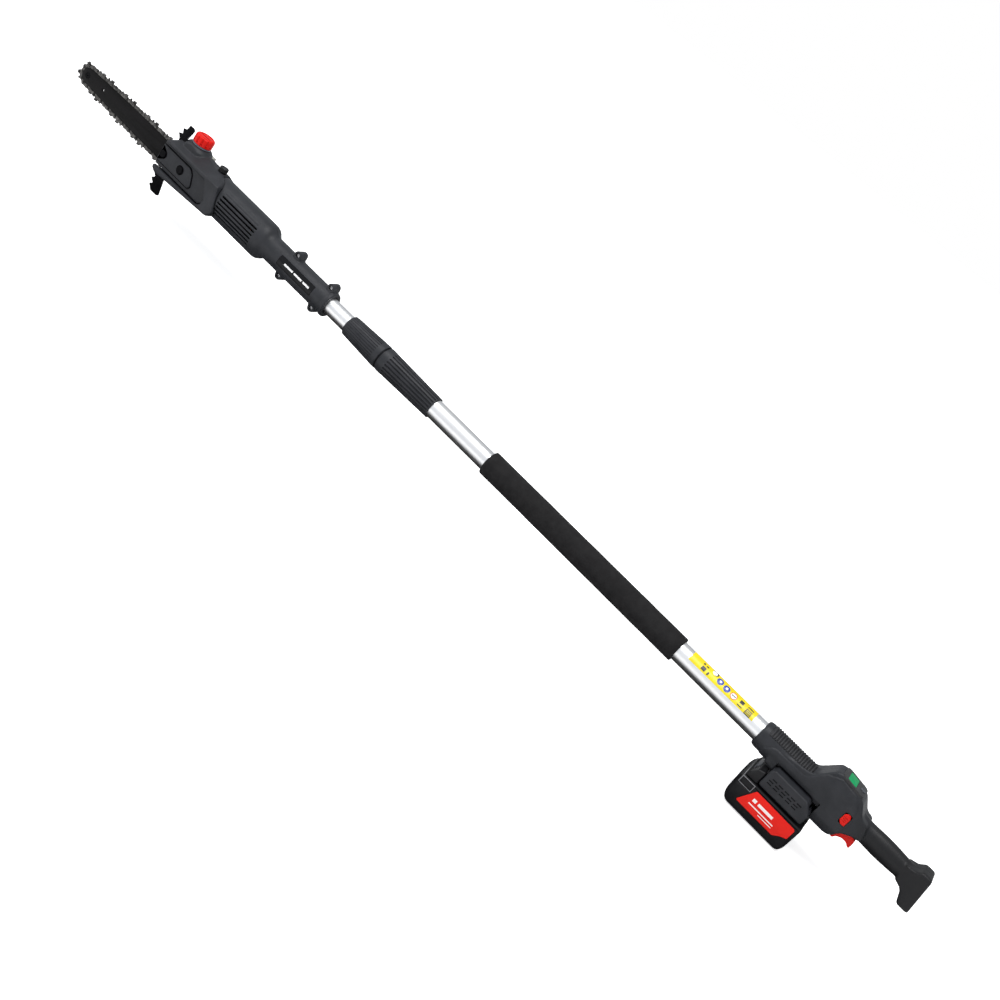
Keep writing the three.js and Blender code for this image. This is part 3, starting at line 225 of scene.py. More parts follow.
def finish_of(name, dark, light, roughness, metallic=0.0, patch=30, grain=900, relief=0.05,
              stretch=(1, 1, 1), coat=0.0, specular=0.5, painted_crevice_shade=0.0):
    """A finish whose colour drifts between two shades, with a fine grain that breaks its gloss.

    patch and grain are the sizes of the two noises, per metre, and relief is the grain's depth
    in millimetres. painted_crevice_shade is how far into a groove painted shade reaches, in
    millimetres: it darkens the colour and the gloss there to stand in for shade."""
    material = bpy.data.materials.new(name)
    material.use_nodes = True
    nodes, links = material.node_tree.nodes, material.node_tree.links
    shader = nodes["Principled BSDF"]
    shader.inputs["Metallic"].default_value = metallic
    shader.inputs["Coat Weight"].default_value = coat
    shader.inputs["Coat Roughness"].default_value = 0.15
    shader.inputs["Specular IOR Level"].default_value = specular
    where = nodes.new("ShaderNodeTexCoord")
    scaled = nodes.new("ShaderNodeMapping")
    scaled.inputs["Scale"].default_value = stretch
    links.new(where.outputs["Object"], scaled.inputs["Vector"])
    drift = nodes.new("ShaderNodeTexNoise")
    drift.inputs["Scale"].default_value = patch
    drift.inputs["Detail"].default_value = 5
    links.new(scaled.outputs["Vector"], drift.inputs["Vector"])
    shades = nodes.new("ShaderNodeValToRGB")
    shades.color_ramp.elements[0].position = 0.32
    shades.color_ramp.elements[0].color = (*dark, 1)
    shades.color_ramp.elements[1].position = 0.68
    shades.color_ramp.elements[1].color = (*light, 1)
    links.new(drift.outputs["Fac"], shades.inputs["Fac"])
    links.new(shades.outputs["Color"], shader.inputs["Base Color"])
    if painted_crevice_shade:
        # painted shade: an occlusion node darkens the colour towards near black in grooves and creases, and dims the
        # gloss there too
        hollow = nodes.new("ShaderNodeAmbientOcclusion")
        hollow.samples = 8
        hollow.inputs["Distance"].default_value = painted_crevice_shade * mm
        links.new(shades.outputs["Color"], hollow.inputs["Color"])
        depth = nodes.new("ShaderNodeMath")
        depth.operation = "POWER"
        depth.inputs[1].default_value = 2.0
        links.new(hollow.outputs["AO"], depth.inputs[0])
        darker = nodes.new("ShaderNodeMix")
        darker.data_type = "RGBA"
        darker.inputs[6].default_value = (0.001, 0.001, 0.001, 1)
        links.new(depth.outputs[0], darker.inputs[0])
        links.new(shades.outputs["Color"], darker.inputs[7])
        links.new(darker.outputs[2], shader.inputs["Base Color"])
        links.new(number_times(nodes, links, depth.outputs[0], specular), shader.inputs["Specular IOR Level"])
    fine = nodes.new("ShaderNodeTexNoise")
    fine.inputs["Scale"].default_value = grain
    fine.inputs["Detail"].default_value = 3
    links.new(scaled.outputs["Vector"], fine.inputs["Vector"])
    gloss = nodes.new("ShaderNodeMapRange")
    gloss.inputs["To Min"].default_value = max(roughness - 0.09, 0.03)
    gloss.inputs["To Max"].default_value = min(roughness + 0.09, 1)
    links.new(fine.outputs["Fac"], gloss.inputs["Value"])
    links.new(gloss.outputs["Result"], shader.inputs["Roughness"])
    bump = nodes.new("ShaderNodeBump")
    bump.inputs["Strength"].default_value = 0.6
    bump.inputs["Distance"].default_value = relief * mm
    links.new(fine.outputs["Fac"], bump.inputs["Height"])
    links.new(bump.outputs["Normal"], shader.inputs["Normal"])
    return material


def dress(piece, material, body, slot, *cad_nodes):
    """Gives a finished piece its material, hangs it on its body and hides the CAD parts it stands for."""
    piece.data.materials.clear()
    piece.data.materials.append(material)
    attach(piece, body)
    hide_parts(*cad_nodes)
    return piece


anodised = finish_of("anodised_aluminium", (0.70, 0.70, 0.71), (0.80, 0.80, 0.81), 0.32,
                     metallic=1.0, patch=60, grain=1500, relief=0.004, stretch=(0.03, 1, 1))
tube_wall = 1.3 * mm
tube_chamfer = 0.3 * mm


def drawn_tube(name, cad_node, body):
    low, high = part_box(cad_node)
    outside, bore = high.z, high.z - tube_wall
    piece = ring_stack(name, [
        (low.x, outside - tube_chamfer), (low.x + tube_chamfer, outside),
        (high.x - tube_chamfer, outside), (high.x, outside - tube_chamfer),
        (high.x, bore), (low.x, bore)], closed=True)
    return dress(smooth(piece), anodised, body, "aluminium", cad_node)


drawn_tube("lower_tube", "outer_tube", "handle")
drawn_tube("upper_tube", "inner_tube", "head")

# ---------------------------------------------------------------- foam hand grip
# A sleeve of closed-cell foam for the front hand, pulled over the lower tube. Its skin is nearly
# black and finely pitted, and both ends are cut square with a soft edge.

low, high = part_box("foam_grip")
foam_outside, foam_bore = high.z, 16.2 * mm
foam_rings = 60
foam_profile = [(low.x, foam_outside - 1.4 * mm), (low.x + 0.5 * mm, foam_outside - 0.5 * mm)]
for i in range(foam_rings + 1):
    along = i / foam_rings
    swell = 0.10 * mm * sin(37 * along) * sin(11 * along)
    foam_profile.append((low.x + 1.6 * mm + along * (high.x - low.x - 3.2 * mm), foam_outside - 0.1 * mm + swell))
foam_profile += [(high.x - 0.5 * mm, foam_outside - 0.5 * mm), (high.x, foam_outside - 1.4 * mm),
                 (high.x, foam_bore), (low.x, foam_bore)]
foam = smooth(ring_stack("foam_sleeve", foam_profile, closed=True))
foam_skin = finish_of("black_foam", (0.006, 0.0055, 0.006), (0.011, 0.0105, 0.011), 0.85,
                      patch=90, grain=1100, relief=0.35, specular=0.2)
dress(foam, foam_skin, "handle", "foam", "foam_grip")

# ---------------------------------------------------------------- warning label
# A yellow film stuck along the lower tube. Its signs are plain discs and bars without any words:
# two blue, one white with a red rim, and black marks at both ends.

low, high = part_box("tube_label")
label_inside, label_outside = 16.05 * mm, 16.35 * mm
film = smooth(ring_stack("label_film", [
    (low.x, label_outside), (high.x, label_outside), (high.x, label_inside), (low.x, label_inside)],
    sides=192, closed=True))
bpy.ops.object.mode_set(mode="EDIT")
for lowest_angle in (26, 95):
    bpy.ops.mesh.select_all(action="SELECT")
    edge = radians(lowest_angle)
    bpy.ops.mesh.bisect(
        plane_co=(0, 0, 0), plane_no=(0, -sin(edge), cos(edge)), use_fill=True,
        clear_inner=lowest_angle == 26, clear_outer=lowest_angle == 95)
bpy.ops.object.mode_set(mode="OBJECT")
yellow = finish_of("yellow_film", (0.74, 0.58, 0.0), (0.82, 0.65, 0.0), 0.38, grain=400, relief=0.004)
nodes, links = yellow.node_tree.nodes, yellow.node_tree.links
ground = nodes["Color Ramp"].outputs["Color"]
where = nodes["Texture Coordinate"].outputs["Object"]
parts = nodes.new("ShaderNodeSeparateXYZ")
links.new(where, parts.inputs[0])


def number(operation, first, second=0.0):
    """One arithmetic step between two values, either of which may be a plain number."""
    step = nodes.new("ShaderNodeMath")
    step.operation = operation
    for socket, value in zip(step.inputs, (first, second)):
        if isinstance(value, (int, float)):
            socket.default_value = value
        else:
            links.new(value, socket)
    return step.outputs[0]


around = number("MULTIPLY", number("ARCTAN2", parts.outputs["Z"], parts.outputs["Y"]), 16.35 * mm)


def paint(under, mask, colour):
    """Puts a colour over what lies under it, wherever the mask is one."""
    mix = nodes.new("ShaderNodeMix")
    mix.data_type = "RGBA"
    links.new(mask, mix.inputs[0])
    links.new(under, mix.inputs[6])
    mix.inputs[7].default_value = (*colour, 1)
    return mix.outputs[2]


def disc(along, up, radius):
    """One inside a circle on the film, at a distance along it and up round the tube."""
    dx = number("SUBTRACT", parts.outputs["X"], along)
    dz = number("SUBTRACT", around, up)
    across = number("SQRT", number("ADD", number("MULTIPLY", dx, dx), number("MULTIPLY", dz, dz)))
    return number("LESS_THAN", across, radius)


def bar_mark(along, up, half_length, half_height):
    dx = number("ABSOLUTE", number("SUBTRACT", parts.outputs["X"], along))
    dz = number("ABSOLUTE", number("SUBTRACT", around, up))
    return number("MULTIPLY", number("LESS_THAN", dx, half_length), number("LESS_THAN", dz, half_height))


blue, ink, paper, red_rim = (0.03, 0.06, 0.35), (0.02, 0.02, 0.02), (0.85, 0.85, 0.82), (0.7, 0.1, 0.05)
middle = 16 * mm
signs = ground
for along, up, radius, colour in (
        (390, 23, 5.4, ink), (391, 22, 4.2, paper), (378, 17, 5.4, blue), (377.6, 17.6, 2.2, paper),
        (365, 16, 5.4, blue), (365, 16.6, 2.0, paper), (351.5, 15.5, 5.6, red_rim), (351.5, 15.5, 4.4, paper)):
    signs = paint(signs, disc(along * mm, up * mm, radius * mm), colour)
for along, up, half_length, half_height in (
        (407, 13, 3.6, 3.2), (404, 20, 2.2, 1.2), (410, 20.5, 1.6, 1.6), (398, 12, 1.4, 2.6), (351.5, 15.5, 3.2, 0.8),
        (337, 17.5, 3.4, 3.0), (337, 10.5, 4.2, 0.8), (322, 12, 5.2, 4.6), (322, 20, 5.2, 1.0)):
    signs = paint(signs, bar_mark(along * mm, up * mm, half_length * mm, half_height * mm), ink)
for up in (9.6, 12, 14.4):
    signs = paint(signs, bar_mark(322 * mm, up * mm, 4.2 * mm, 0.5 * mm), (0.80, 0.64, 0.0))
links.new(signs, nodes["Principled BSDF"].inputs["Base Color"])
dress(film, yellow, "handle", "yellow_label", "tube_label")

# ---------------------------------------------------------------- twist lock
# The sleeve is fixed to the lower tube and the nut turns on it and squeezes a split collet.
# Both are moulded nylon with flutes that run lengthways for the hand.


def use(piece):
    """Makes a piece the only one selected, ready for the next operator."""
    bpy.ops.object.select_all(action="DESELECT")
    piece.select_set(True)
    bpy.context.view_layer.objects.active = piece


def combine(piece, operation, *tools):
    """Joins tools to a piece, cuts them from it or keeps what it shares with them."""
    for tool in tools:
        use(piece)
        modifier = piece.modifiers.new("combine", "BOOLEAN")
        modifier.operation = operation
        modifier.solver = "MANIFOLD"
        modifier.object = tool
        bpy.ops.object.modifier_apply(modifier=modifier.name)
        bpy.data.objects.remove(tool)
    return piece


def carve(piece, *tools):
    """Cuts tools that may touch each other from a piece, all at once."""
    return combine(piece, "DIFFERENCE", combine(tools[0], "UNION", *tools[1:]))


def block(name, x0, x1, y0, y1, z0, z1, edge=0.0, steps=3):
    """A box between two corners, in millimetres, with its edges rounded off."""
    bpy.ops.object.select_all(action="DESELECT")
    bpy.ops.mesh.primitive_cube_add(
        size=1, location=((x0 + x1) / 2 * mm, (y0 + y1) / 2 * mm, (z0 + z1) / 2 * mm),
        scale=((x1 - x0) * mm, (y1 - y0) * mm, (z1 - z0) * mm))
    piece = bpy.context.object
    piece.name = name
    bpy.ops.object.transform_apply(location=True, rotation=True, scale=True)
    if edge:
        round_edges(piece, edge, steps)
    return piece


def round_edges(piece, width, steps=3, angle=30):
    """Rounds a piece's edges by a width in millimetres."""
    use(piece)
    modifier = piece.modifiers.new("edges", "BEVEL")
    modifier.width = width * mm
    modifier.segments = steps
    modifier.limit_method = "ANGLE"
    modifier.angle_limit = radians(angle)
    bpy.ops.object.modifier_apply(modifier=modifier.name)
    return piece


charcoal = finish_of("charcoal_nylon", (0.015, 0.016, 0.019), (0.023, 0.024, 0.028), 0.46,
                     patch=45, grain=1400, relief=0.06, specular=0.22, painted_crevice_shade=2.5)


def fluted(name, profile, flutes, groove, x0, x1, rim, slope):
    """A turned shell with round-ended grooves cut along its outside between x0 and x1.

    rim is the radius at x0, slope the fall of radius per metre, and groove the cutter's radius."""
    piece = ring_stack(name, profile, sides=144, closed=True)
    for i in range(flutes):
        cutter = ring_stack("cutter", [
            (x0, 0.2 * groove), (x0 + 0.5 * groove, 0.8 * groove), (x0 + groove, groove),
            (x1 - groove, groove), (x1 - 0.5 * groove, 0.8 * groove), (x1, 0.2 * groove)], sides=12)
        place(cutter, (-x0, 0, 0))
        place(cutter, (0, 0, 0), (0, slope, 0))
        place(cutter, (x0, 0, rim))
        place(cutter, (0, 0, 0), (2 * pi * i / flutes, 0, 0))
        combine(piece, "DIFFERENCE", cutter)
    return smooth(piece, 40)


low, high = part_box("lock_sleeve")
gap_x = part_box("lock_nut")[0].x
sleeve_end = gap_x - 3 * mm
sleeve_radius = high.z
sleeve = fluted("lock_sleeve_shell", [
    (low.x, 16.3 * mm), (low.x, 17.6 * mm), (low.x + 0.6 * mm, 18.2 * mm),
    (sleeve_end - 17 * mm, sleeve_radius - 0.5 * mm), (sleeve_end - 9 * mm, sleeve_radius),
    (sleeve_end - 0.8 * mm, sleeve_radius), (sleeve_end, sleeve_radius - 0.8 * mm),
    (sleeve_end, 18.2 * mm), (high.x - 0.6 * mm, 18.2 * mm), (high.x, 17.6 * mm),
    (high.x, 14.9 * mm), (sleeve_end - 4 * mm, 14.9 * mm), (sleeve_end - 4 * mm, 16.3 * mm)],
    22, 1.5 * mm, low.x + 1.5 * mm, sleeve_end - 14 * mm, 18.4 * mm, -radians(1.15))
dress(sleeve, charcoal, "handle", "charcoal_plastic", "lock_sleeve")

low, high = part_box("lock_nut")
nut = fluted("lock_nut_shell", [
    (low.x, 18.6 * mm), (low.x, sleeve_radius - 0.8 * mm), (low.x + 0.8 * mm, sleeve_radius),
    (low.x + 7 * mm, sleeve_radius), (high.x - 16 * mm, 18.4 * mm), (high.x - 4 * mm, 17.9 * mm),
    (high.x - 0.8 * mm, 17.5 * mm), (high.x, 16.8 * mm), (high.x, 14.9 * mm),
    (high.x - 14 * mm, 14.9 * mm), (high.x - 14 * mm, 16.9 * mm), (low.x + 20 * mm, 16.9 * mm),
    (low.x + 20 * mm, 18.6 * mm)],
    30, 0.75 * mm, low.x + 10 * mm, high.x - 2 * mm, sleeve_radius - 0.1 * mm, radians(2.2))
dress(nut, charcoal, "lock_nut", "charcoal_plastic", "lock_nut")

# ---------------------------------------------------------------- rear housing
# Two glass-filled nylon shells meet on the middle plane: a barrel that clamps the tube, a bulge
# for the switch and the display, a slim grip and a flared foot. Screws from the right hold them.


def slab(name, corners, start, end, axis="Y"):
    """An outline drawn through corners and given thickness along one axis, in millimetres.

    A corner (a, b, r) is rounded with radius r. The outline lies in X and Z, or Y and Z for the
    X axis, or X and Y for the Z axis."""
    outline = []
    for i, corner in enumerate(corners):
        here = Vector(corner[:2])
        if len(corner) == 2:
            outline.append(here)
            continue
        before, after = Vector(corners[i - 1][:2]), Vector(corners[(i + 1) % len(corners)][:2])
        into, out = (before - here).normalized(), (after - here).normalized()
        half = into.angle(out) / 2
        radius = min(corner[2], 0.49 * min((before - here).length, (after - here).length) * abs(sin(half) / cos(half)))
        reach = radius * cos(half) / sin(half)
        middle = here + (into + out).normalized() * radius / sin(half)
        first, last = here + into * reach - middle, here + out * reach - middle
        for step in range(7):
            outline.append(middle + first.slerp(last, step / 6) * radius)
    bpy.ops.object.select_all(action="DESELECT")
    bpy.ops.mesh.primitive_circle_add(vertices=len(outline), fill_type="NGON")
    piece = bpy.context.object
    piece.name = name
    for vertex, (a, b) in zip(piece.data.vertices, outline):
        spot = {"Y": (a, start, b), "X": (start, a, b), "Z": (a, b, start)}[axis]
        vertex.co = Vector(spot) * mm
    depth = (end - start) * mm
    away = {"Y": (0, depth, 0), "X": (depth, 0, 0), "Z": (0, 0, depth)}[axis]
    bpy.ops.object.mode_set(mode="EDIT")
    bpy.ops.mesh.select_all(action="SELECT")
    bpy.ops.mesh.extrude_region_move(TRANSFORM_OT_translate={"value": away})
    bpy.ops.mesh.select_all(action="SELECT")
    bpy.ops.mesh.normals_make_consistent(inside=False)
    bpy.ops.object.mode_set(mode="OBJECT")
    return piece


def rod(name, radius, start, end, centre, axis="Y", sides=32):
    """A round bar along one axis through a centre, in millimetres."""
    piece = ring_stack(name, [(start * mm, radius * mm), (end * mm, radius * mm)], sides)
    spins = {"X": (0, 0, 0), "Y": (0, 0, pi / 2), "Z": (0, -pi / 2, 0)}
    return place(piece, Vector(centre) * mm, spins[axis])


def mould(piece, voxel, passes, keep=1.0):
    """Rebuilds a joined shape on a fine grid and relaxes it, so that every edge is softly rounded."""
    use(piece)
    grid = piece.modifiers.new("grid", "REMESH")
    grid.mode = "VOXEL"
    grid.voxel_size = voxel * mm
    grid.adaptivity = 0
    bpy.ops.object.modifier_apply(modifier=grid.name)
    relax = piece.modifiers.new("relax", "SMOOTH")
    relax.factor = 0.5
    relax.iterations = passes
    bpy.ops.object.modifier_apply(modifier=relax.name)
    if keep < 1:
        thin = piece.modifiers.new("thin", "DECIMATE")
        thin.ratio = keep
        bpy.ops.object.modifier_apply(modifier=thin.name)
    bpy.ops.object.shade_smooth()
    return piece


def millimetres(profile):
    return [(x * mm, radius * mm) for x, radius in profile]


def split_shells(piece, seam=0.18):
    """Parts a moulded body on the middle plane into its left and right shells."""
    use(piece)
    bpy.ops.object.duplicate()
    other = bpy.context.object
    combine(piece, "DIFFERENCE", block("right_half", -50, 1900, -90, seam, -110, 110))
    combine(other, "DIFFERENCE", block("left_half", -50, 1900, -seam, 90, -110, 110))
    return piece, other


housing = ring_stack("handle_shell_l", millimetres([
    (180, 20.9), (200, 21.7), (285, 21.7), (289, 21.3), (292, 20.2), (293, 18.5)]), sides=96)
bulge_outline = [
    (108, 18, 6), (100, -6, 6), (112, -8, 6), (125, -15, 8), (135, -30, 8), (143, -34.5, 10), (168, -34.5, 4),
    (176, -25, 8),
    (252, -21), (262, -19), (262, 6), (206, 17, 14), (198, 27, 10), (185, 45, 9), (172, 48, 10), (146, 44, 7),
    (134, 37, 12), (120, 20, 12)]
bulge_section = [
    (-13, -35, 4), (-18, -31, 6), (-21, -20, 12), (-21, 26, 18), (-18.5, 41, 8), (-16, 49.5, 4),
    (16, 49.5, 4), (18.5, 41, 8), (21, 26, 18), (21, -20, 12), (18, -31, 6), (13, -35, 4)]
bulge = combine(slab("bulge", bulge_outline, -24, 24), "INTERSECT",
                slab("section", bulge_section, 90, 300, axis="X"))
combine(housing, "UNION", bulge)

# the grip is a slim barrel, oval across, and its radius follows the palm
grip = ring_stack("grip", millimetres([
    (14, 14.4), (24, 14.5), (34, 15.0), (46, 15.9), (58, 16.7), (70, 17.3), (80, 17.4), (90, 17.0),
    (100, 16.6), (110, 16.9), (122, 18.2), (140, 18.6)]), sides=96)
grip_oval, grip_height = 15 / 17.4, 3.5 * mm
place(grip, (0, 0, grip_height), scale=(1, grip_oval, 1))
combine(housing, "UNION", grip)

foot_tilt = 0.145
foot_outline = [
    (foot_tilt * 26.4, 26.4, 4), (-foot_tilt * 34, -34, 3), (14, -34, 7), (24, -14, 12), (38, -10.5), (40, 16.5),
    (26, 19, 10), (19, 27, 5)]
foot = combine(
    slab("foot", foot_outline, -18.6, 18.6), "INTERSECT",
    slab("foot_section", [(-18.6, -34.5, 7), (-18.6, 27.5, 7), (18.6, 27.5, 7), (18.6, -34.5, 7)], -20, 60,
         axis="X"),
    slab("foot_taper", [(-20, -18.6), (16, -18.6), (42, -13.4), (42, 13.4), (16, 18.6), (-20, 18.6)], -40, 40,
         axis="Z"))
combine(housing, "UNION", foot)
mould(housing, 1.1, 26)

# the raised flank below an S-shaped crease on both sides
flank_outline = [
    (276, -30), (274, -4, 8), (264, 6, 10), (210, 7, 12), (190, 33, 10), (173, 42, 8), (147, 38, 8),
    (134, 27, 8), (127, 2, 10), (133, -40), (172, -40), (178, -30)]
use(housing)
bpy.ops.object.duplicate()
flank = bpy.context.object
swell = flank.modifiers.new("swell", "DISPLACE")
swell.mid_level = 0
swell.strength = 1.2 * mm
bpy.ops.object.modifier_apply(modifier=swell.name)
combine(flank, "INTERSECT", slab("flank_outline", flank_outline, -26, 26))
combine(housing, "UNION", flank)
mould(housing, 0.8, 3, keep=0.5)


# the pad's seat on top of the barrel
pad_wedge = [(0, 0), (25, 19.5), (25, 40), (-25, 40), (-25, 19.5)]


def pad_shape(name, profile, bore):
    low_x, high_x = profile[0][0], profile[-1][0]
    ring = ring_stack(name, millimetres(profile + [(high_x, bore), (low_x, bore)]), closed=True)
    return combine(ring, "INTERSECT", slab("wedge", pad_wedge, low_x - 5, high_x + 5, axis="X"))


bezel_tilt = -radians(7.5)
panel_place = Vector((158, 0, 44.2)) * mm
carve(
    housing,
    rod("tube_seat", 16.3, 195.7, 300, (0, 0, 0), axis="X", sides=64),
    rod("lead_way", 11, 18, 196, (0, 0, 3.5), axis="X"),
    block("switch_room", 106, 139, -12, 12, -9, 12),
    block("panel_room", 140, 184, -17.5, 17.5, -2, 34),
    block("front_room", 140, 193, -17.5, 17.5, -2, 24),
    block("dock_seat", 170.4, 247.6, -60, 60, -60, -5.7),
    block("trigger_slot", 101.5, 134, -7.3, 7.3, -45, -6),
    block("button_window", 129.7, 141.3, 4, 30, -5.3, 14.3, edge=2.5),
    place(block("panel_seat", -20.5, 20.5, -18.9, 18.9, -3.3, 20, edge=6), panel_place, (0, bezel_tilt, 0)),
    place(rod("key_well", 5.2, -4.8, 2, (-13.5, 0, 0), axis="Z", sides=48), panel_place, (0, bezel_tilt, 0)),
    rod("screw_hole", 3.5, -40, -13, (24, 0, 2)),
    rod("screw_hole", 3.5, -40, -17, (150, 0, -18)),
    pad_shape("pad_seat", [(206.4, 24), (282.6, 24)], 19.9))
shell_left, shell_right = split_shells(housing)
shell_right.name = "handle_shell_r"
dress(smooth(shell_left, 50), charcoal, "handle", "charcoal_plastic", "handle_shell_left")
dress(smooth(shell_right, 50), charcoal, "handle", "charcoal_plastic", "handle_shell_right")

# the grip and foot are coloured darker than the bulge, fading in from the switch back
nodes, links = charcoal.node_tree.nodes, charcoal.node_tree.links
parts = nodes.new("ShaderNodeSeparateXYZ")
links.new(nodes["Texture Coordinate"].outputs["Object"], parts.inputs[0])
fade = nodes.new("ShaderNodeMapRange")
fade.inputs["From Min"].default_value = 128 * mm
fade.inputs["From Max"].default_value = 92 * mm
links.new(parts.outputs["X"], fade.inputs["Value"])
skin = nodes["Principled BSDF"].inputs["Base Color"].links[0].from_socket
links.new(paint(skin, fade.outputs["Result"], (0.008, 0.008, 0.009)),
          nodes["Principled BSDF"].inputs["Base Color"])

# ---------------------------------------------------------------- ribbed pad
# A soft rubber pad set into the top of the barrel, with fine ribs across it for the hand that
# steadies the saw.

rib_pitch, rib_height = 4.1, 0.9
pad_profile = [(206.8, 20.2), (206.8, 21.6)]
x = 208.0
while x < 279:
    pad_profile += [(x, 21.8), (x + 0.6, 21.8 + rib_height), (x + 2.4, 21.8 + rib_height), (x + 3.0, 21.8)]
    x += rib_pitch
pad_profile += [(282.2, 21.6), (282.2, 20.2)]
rubber = finish_of("ribbed_rubber", (0.012, 0.012, 0.014), (0.020, 0.020, 0.023), 0.58, grain=900, relief=0.08,
                   specular=0.3, painted_crevice_shade=2.0)
pad = pad_shape("ribbed_pad", pad_profile, 20.2)
dress(smooth(pad, 25), rubber, "handle", "rubber", "grip_pad")

# ---------------------------------------------------------------- control panel
# A black bezel on the bulge frames a green lit window and a round power button with a light ring.
# The circuit board lies under it and is seen only with the shells apart.

satin_black = finish_of("satin_black", (0.005, 0.005, 0.006), (0.009, 0.009, 0.010), 0.38, grain=1200,
                        relief=0.03, specular=0.4)
bezel = slab("panel_bezel", [(-20, -18.4, 7), (20, -18.4, 7), (20, 18.4, 7), (-20, 18.4, 7)], -3, 0.9, axis="Z")
round_edges(bezel, 0.7)
combine(
    bezel, "DIFFERENCE",
    block("window", -3.3, 12.3, -13.3, 13.3, -1.4, 5, edge=1),
    rod("button_hole", 4.8, -8, 8, (-13.5, 0, 0), axis="Z", sides=48))
dress(smooth(place(bezel, panel_place, (0, bezel_tilt, 0))), satin_black, "handle", "black_plastic",
      "display_bezel")

lens = round_edges(slab("green_window", [(-3, -13, 1), (12, -13, 1), (12, 13, 1), (-3, 13, 1)],
                        -1.0, 0.95, axis="Z"), 0.35)
green = finish_of("lit_green", (0.0, 0.20, 0.06), (0.002, 0.25, 0.08), 0.35, grain=500, relief=0.0,
                  specular=0.08)
shader = green.node_tree.nodes["Principled BSDF"]
shader.inputs["Emission Color"].default_value = (0.0, 0.45, 0.14, 1)
shader.inputs["Emission Strength"].default_value = 0.12
dress(smooth(place(lens, panel_place, (0, bezel_tilt, 0))), green, "handle", "green_display", "display_lens")

grey_nylon = finish_of("grey_nylon", (0.05, 0.055, 0.065), (0.075, 0.08, 0.09), 0.42, grain=1200,
                       relief=0.03, specular=0.3)
button = ring_stack("power_key", millimetres([(-2.4, 4.3), (1.1, 4.3), (1.6, 3.8), (1.2, 2.6), (1.2, 0.2)]), 48)
place(button, (0, 0, 0), (0, -pi / 2, 0))
mark = ring_stack("mark", millimetres([(1.1, 2.2), (1.5, 2.2), (1.5, 1.7), (1.1, 1.7)]), 32, closed=True)
combine(button, "UNION", place(mark, (0, 0, 0), (0, -pi / 2, 0)))
place(button, Vector((-13.5, 0, 0.4)) * mm)
dress(smooth(place(button, panel_place, (0, bezel_tilt, 0))), grey_nylon, "power_button", "grey_plastic",
      "power_button")

# ---------------------------------------------------------------- lock-off button and trigger
# The thumb pushes the red key in on the left before the red trigger will move. The trigger turns
# on a steel pin and its front is dished for one finger.

red_nylon = finish_of("red_nylon", (0.56, 0.006, 0.003), (0.66, 0.010, 0.005), 0.38, grain=1200, relief=0.03,
                      specular=0.15, painted_crevice_shade=2.0)
key = slab("lockoff_key", [(130.2, -4.8, 1), (136.5, -4.8, 1), (140.8, -1, 2), (140.8, 10, 3), (137, 13.8, 3),
                           (133, 13.8, 3), (130.2, 9, 2)], 12, 23)
round_edges(key, 0.9)
combine(key, "DIFFERENCE", *[
    rod("groove", 0.5, 132.5, 138.5, (0, 23.2, z), axis="X", sides=12) for z in (1, 4, 7)])
dress(smooth(key), red_nylon, "lockoff_button", "red_plastic", "lockoff_button")

trigger = slab("trigger_lever", [
    (132.4, -9.6), (132.4, -35.4, 1.5), (128.6, -34.6, 2), (126, -29.5, 6), (120, -26, 10), (112, -25.6, 10),
    (106.5, -29.6, 1.5), (103.8, -29.6, 1.5), (103.8, -22), (104.6, -14.6, 2), (124, -9.6)], -6.4, 6.4)
round_edges(trigger, 1.1)
combine(trigger, "DIFFERENCE", rod("pin_hole", 2.0, -10, 10, (129, 0, -13)))
dress(smooth(trigger), red_nylon, "trigger", "red_plastic", "trigger")

# ---------------------------------------------------------------- steel screws
# Pan-head screws with a cross recess hold the handle's shells from the right, and the neck's
# clamping bosses from the left.

bright_steel = finish_of("bright_steel", (0.30, 0.30, 0.31), (0.42, 0.42, 0.43), 0.30, metallic=1.0,
                         patch=200, grain=2500, relief=0.01)


def cross_screw(name, cad_node, body, facing):
    """A pan-head screw on the Y axis whose head faces one side."""
    low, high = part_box(cad_node)
    low, high = low / mm, high / mm
    x, z = (low.x + high.x) / 2, (low.z + high.z) / 2
    head_radius = (high.x - low.x) / 2
    face = high.y if facing > 0 else -low.y
    length = high.y - low.y
    piece = ring_stack(name, millimetres([
        (face - length, 1.0), (face - length + 1.5, 1.5), (face - 2.4, 1.5), (face - 2.4, head_radius),
        (face - 1.0, head_radius), (face - 0.3, 0.8 * head_radius), (face, 0.45 * head_radius)]), 32)
    half = 0.62 * head_radius
    for y0, z0 in ((half, 0.42), (0.42, half)):
        combine(piece, "DIFFERENCE", block("slot", face - 1.5, face + 1, -y0, y0, -z0, z0))
    place(piece, (0, 0, 0), (0, 0, facing * pi / 2))
    place(piece, Vector((x, 0, z)) * mm)
    return dress(smooth(piece), bright_steel, body, "steel", cad_node)


for i in (1, 2):
    cross_screw(f"handle_cross_screw_{i}", f"handle_screw_{i}", "handle", -1)
for i in (1, 2, 3, 4):
    cross_screw(f"neck_cross_screw_{i}", f"neck_screw_{i}", "head", 1)

# ---------------------------------------------------------------- battery dock
# A block of the same nylon under the barrel with inward rails on which the pack slides. Rows of
# short slots let warm air out of both flanks.


def gather(name, pieces):
    """Makes one object of several that don't touch each other."""
    bpy.ops.object.select_all(action="DESELECT")
    for piece in pieces:
        piece.select_set(True)
    bpy.context.view_layer.objects.active = pieces[0]
    bpy.ops.object.join()
    pieces[0].name = name
    return pieces[0]


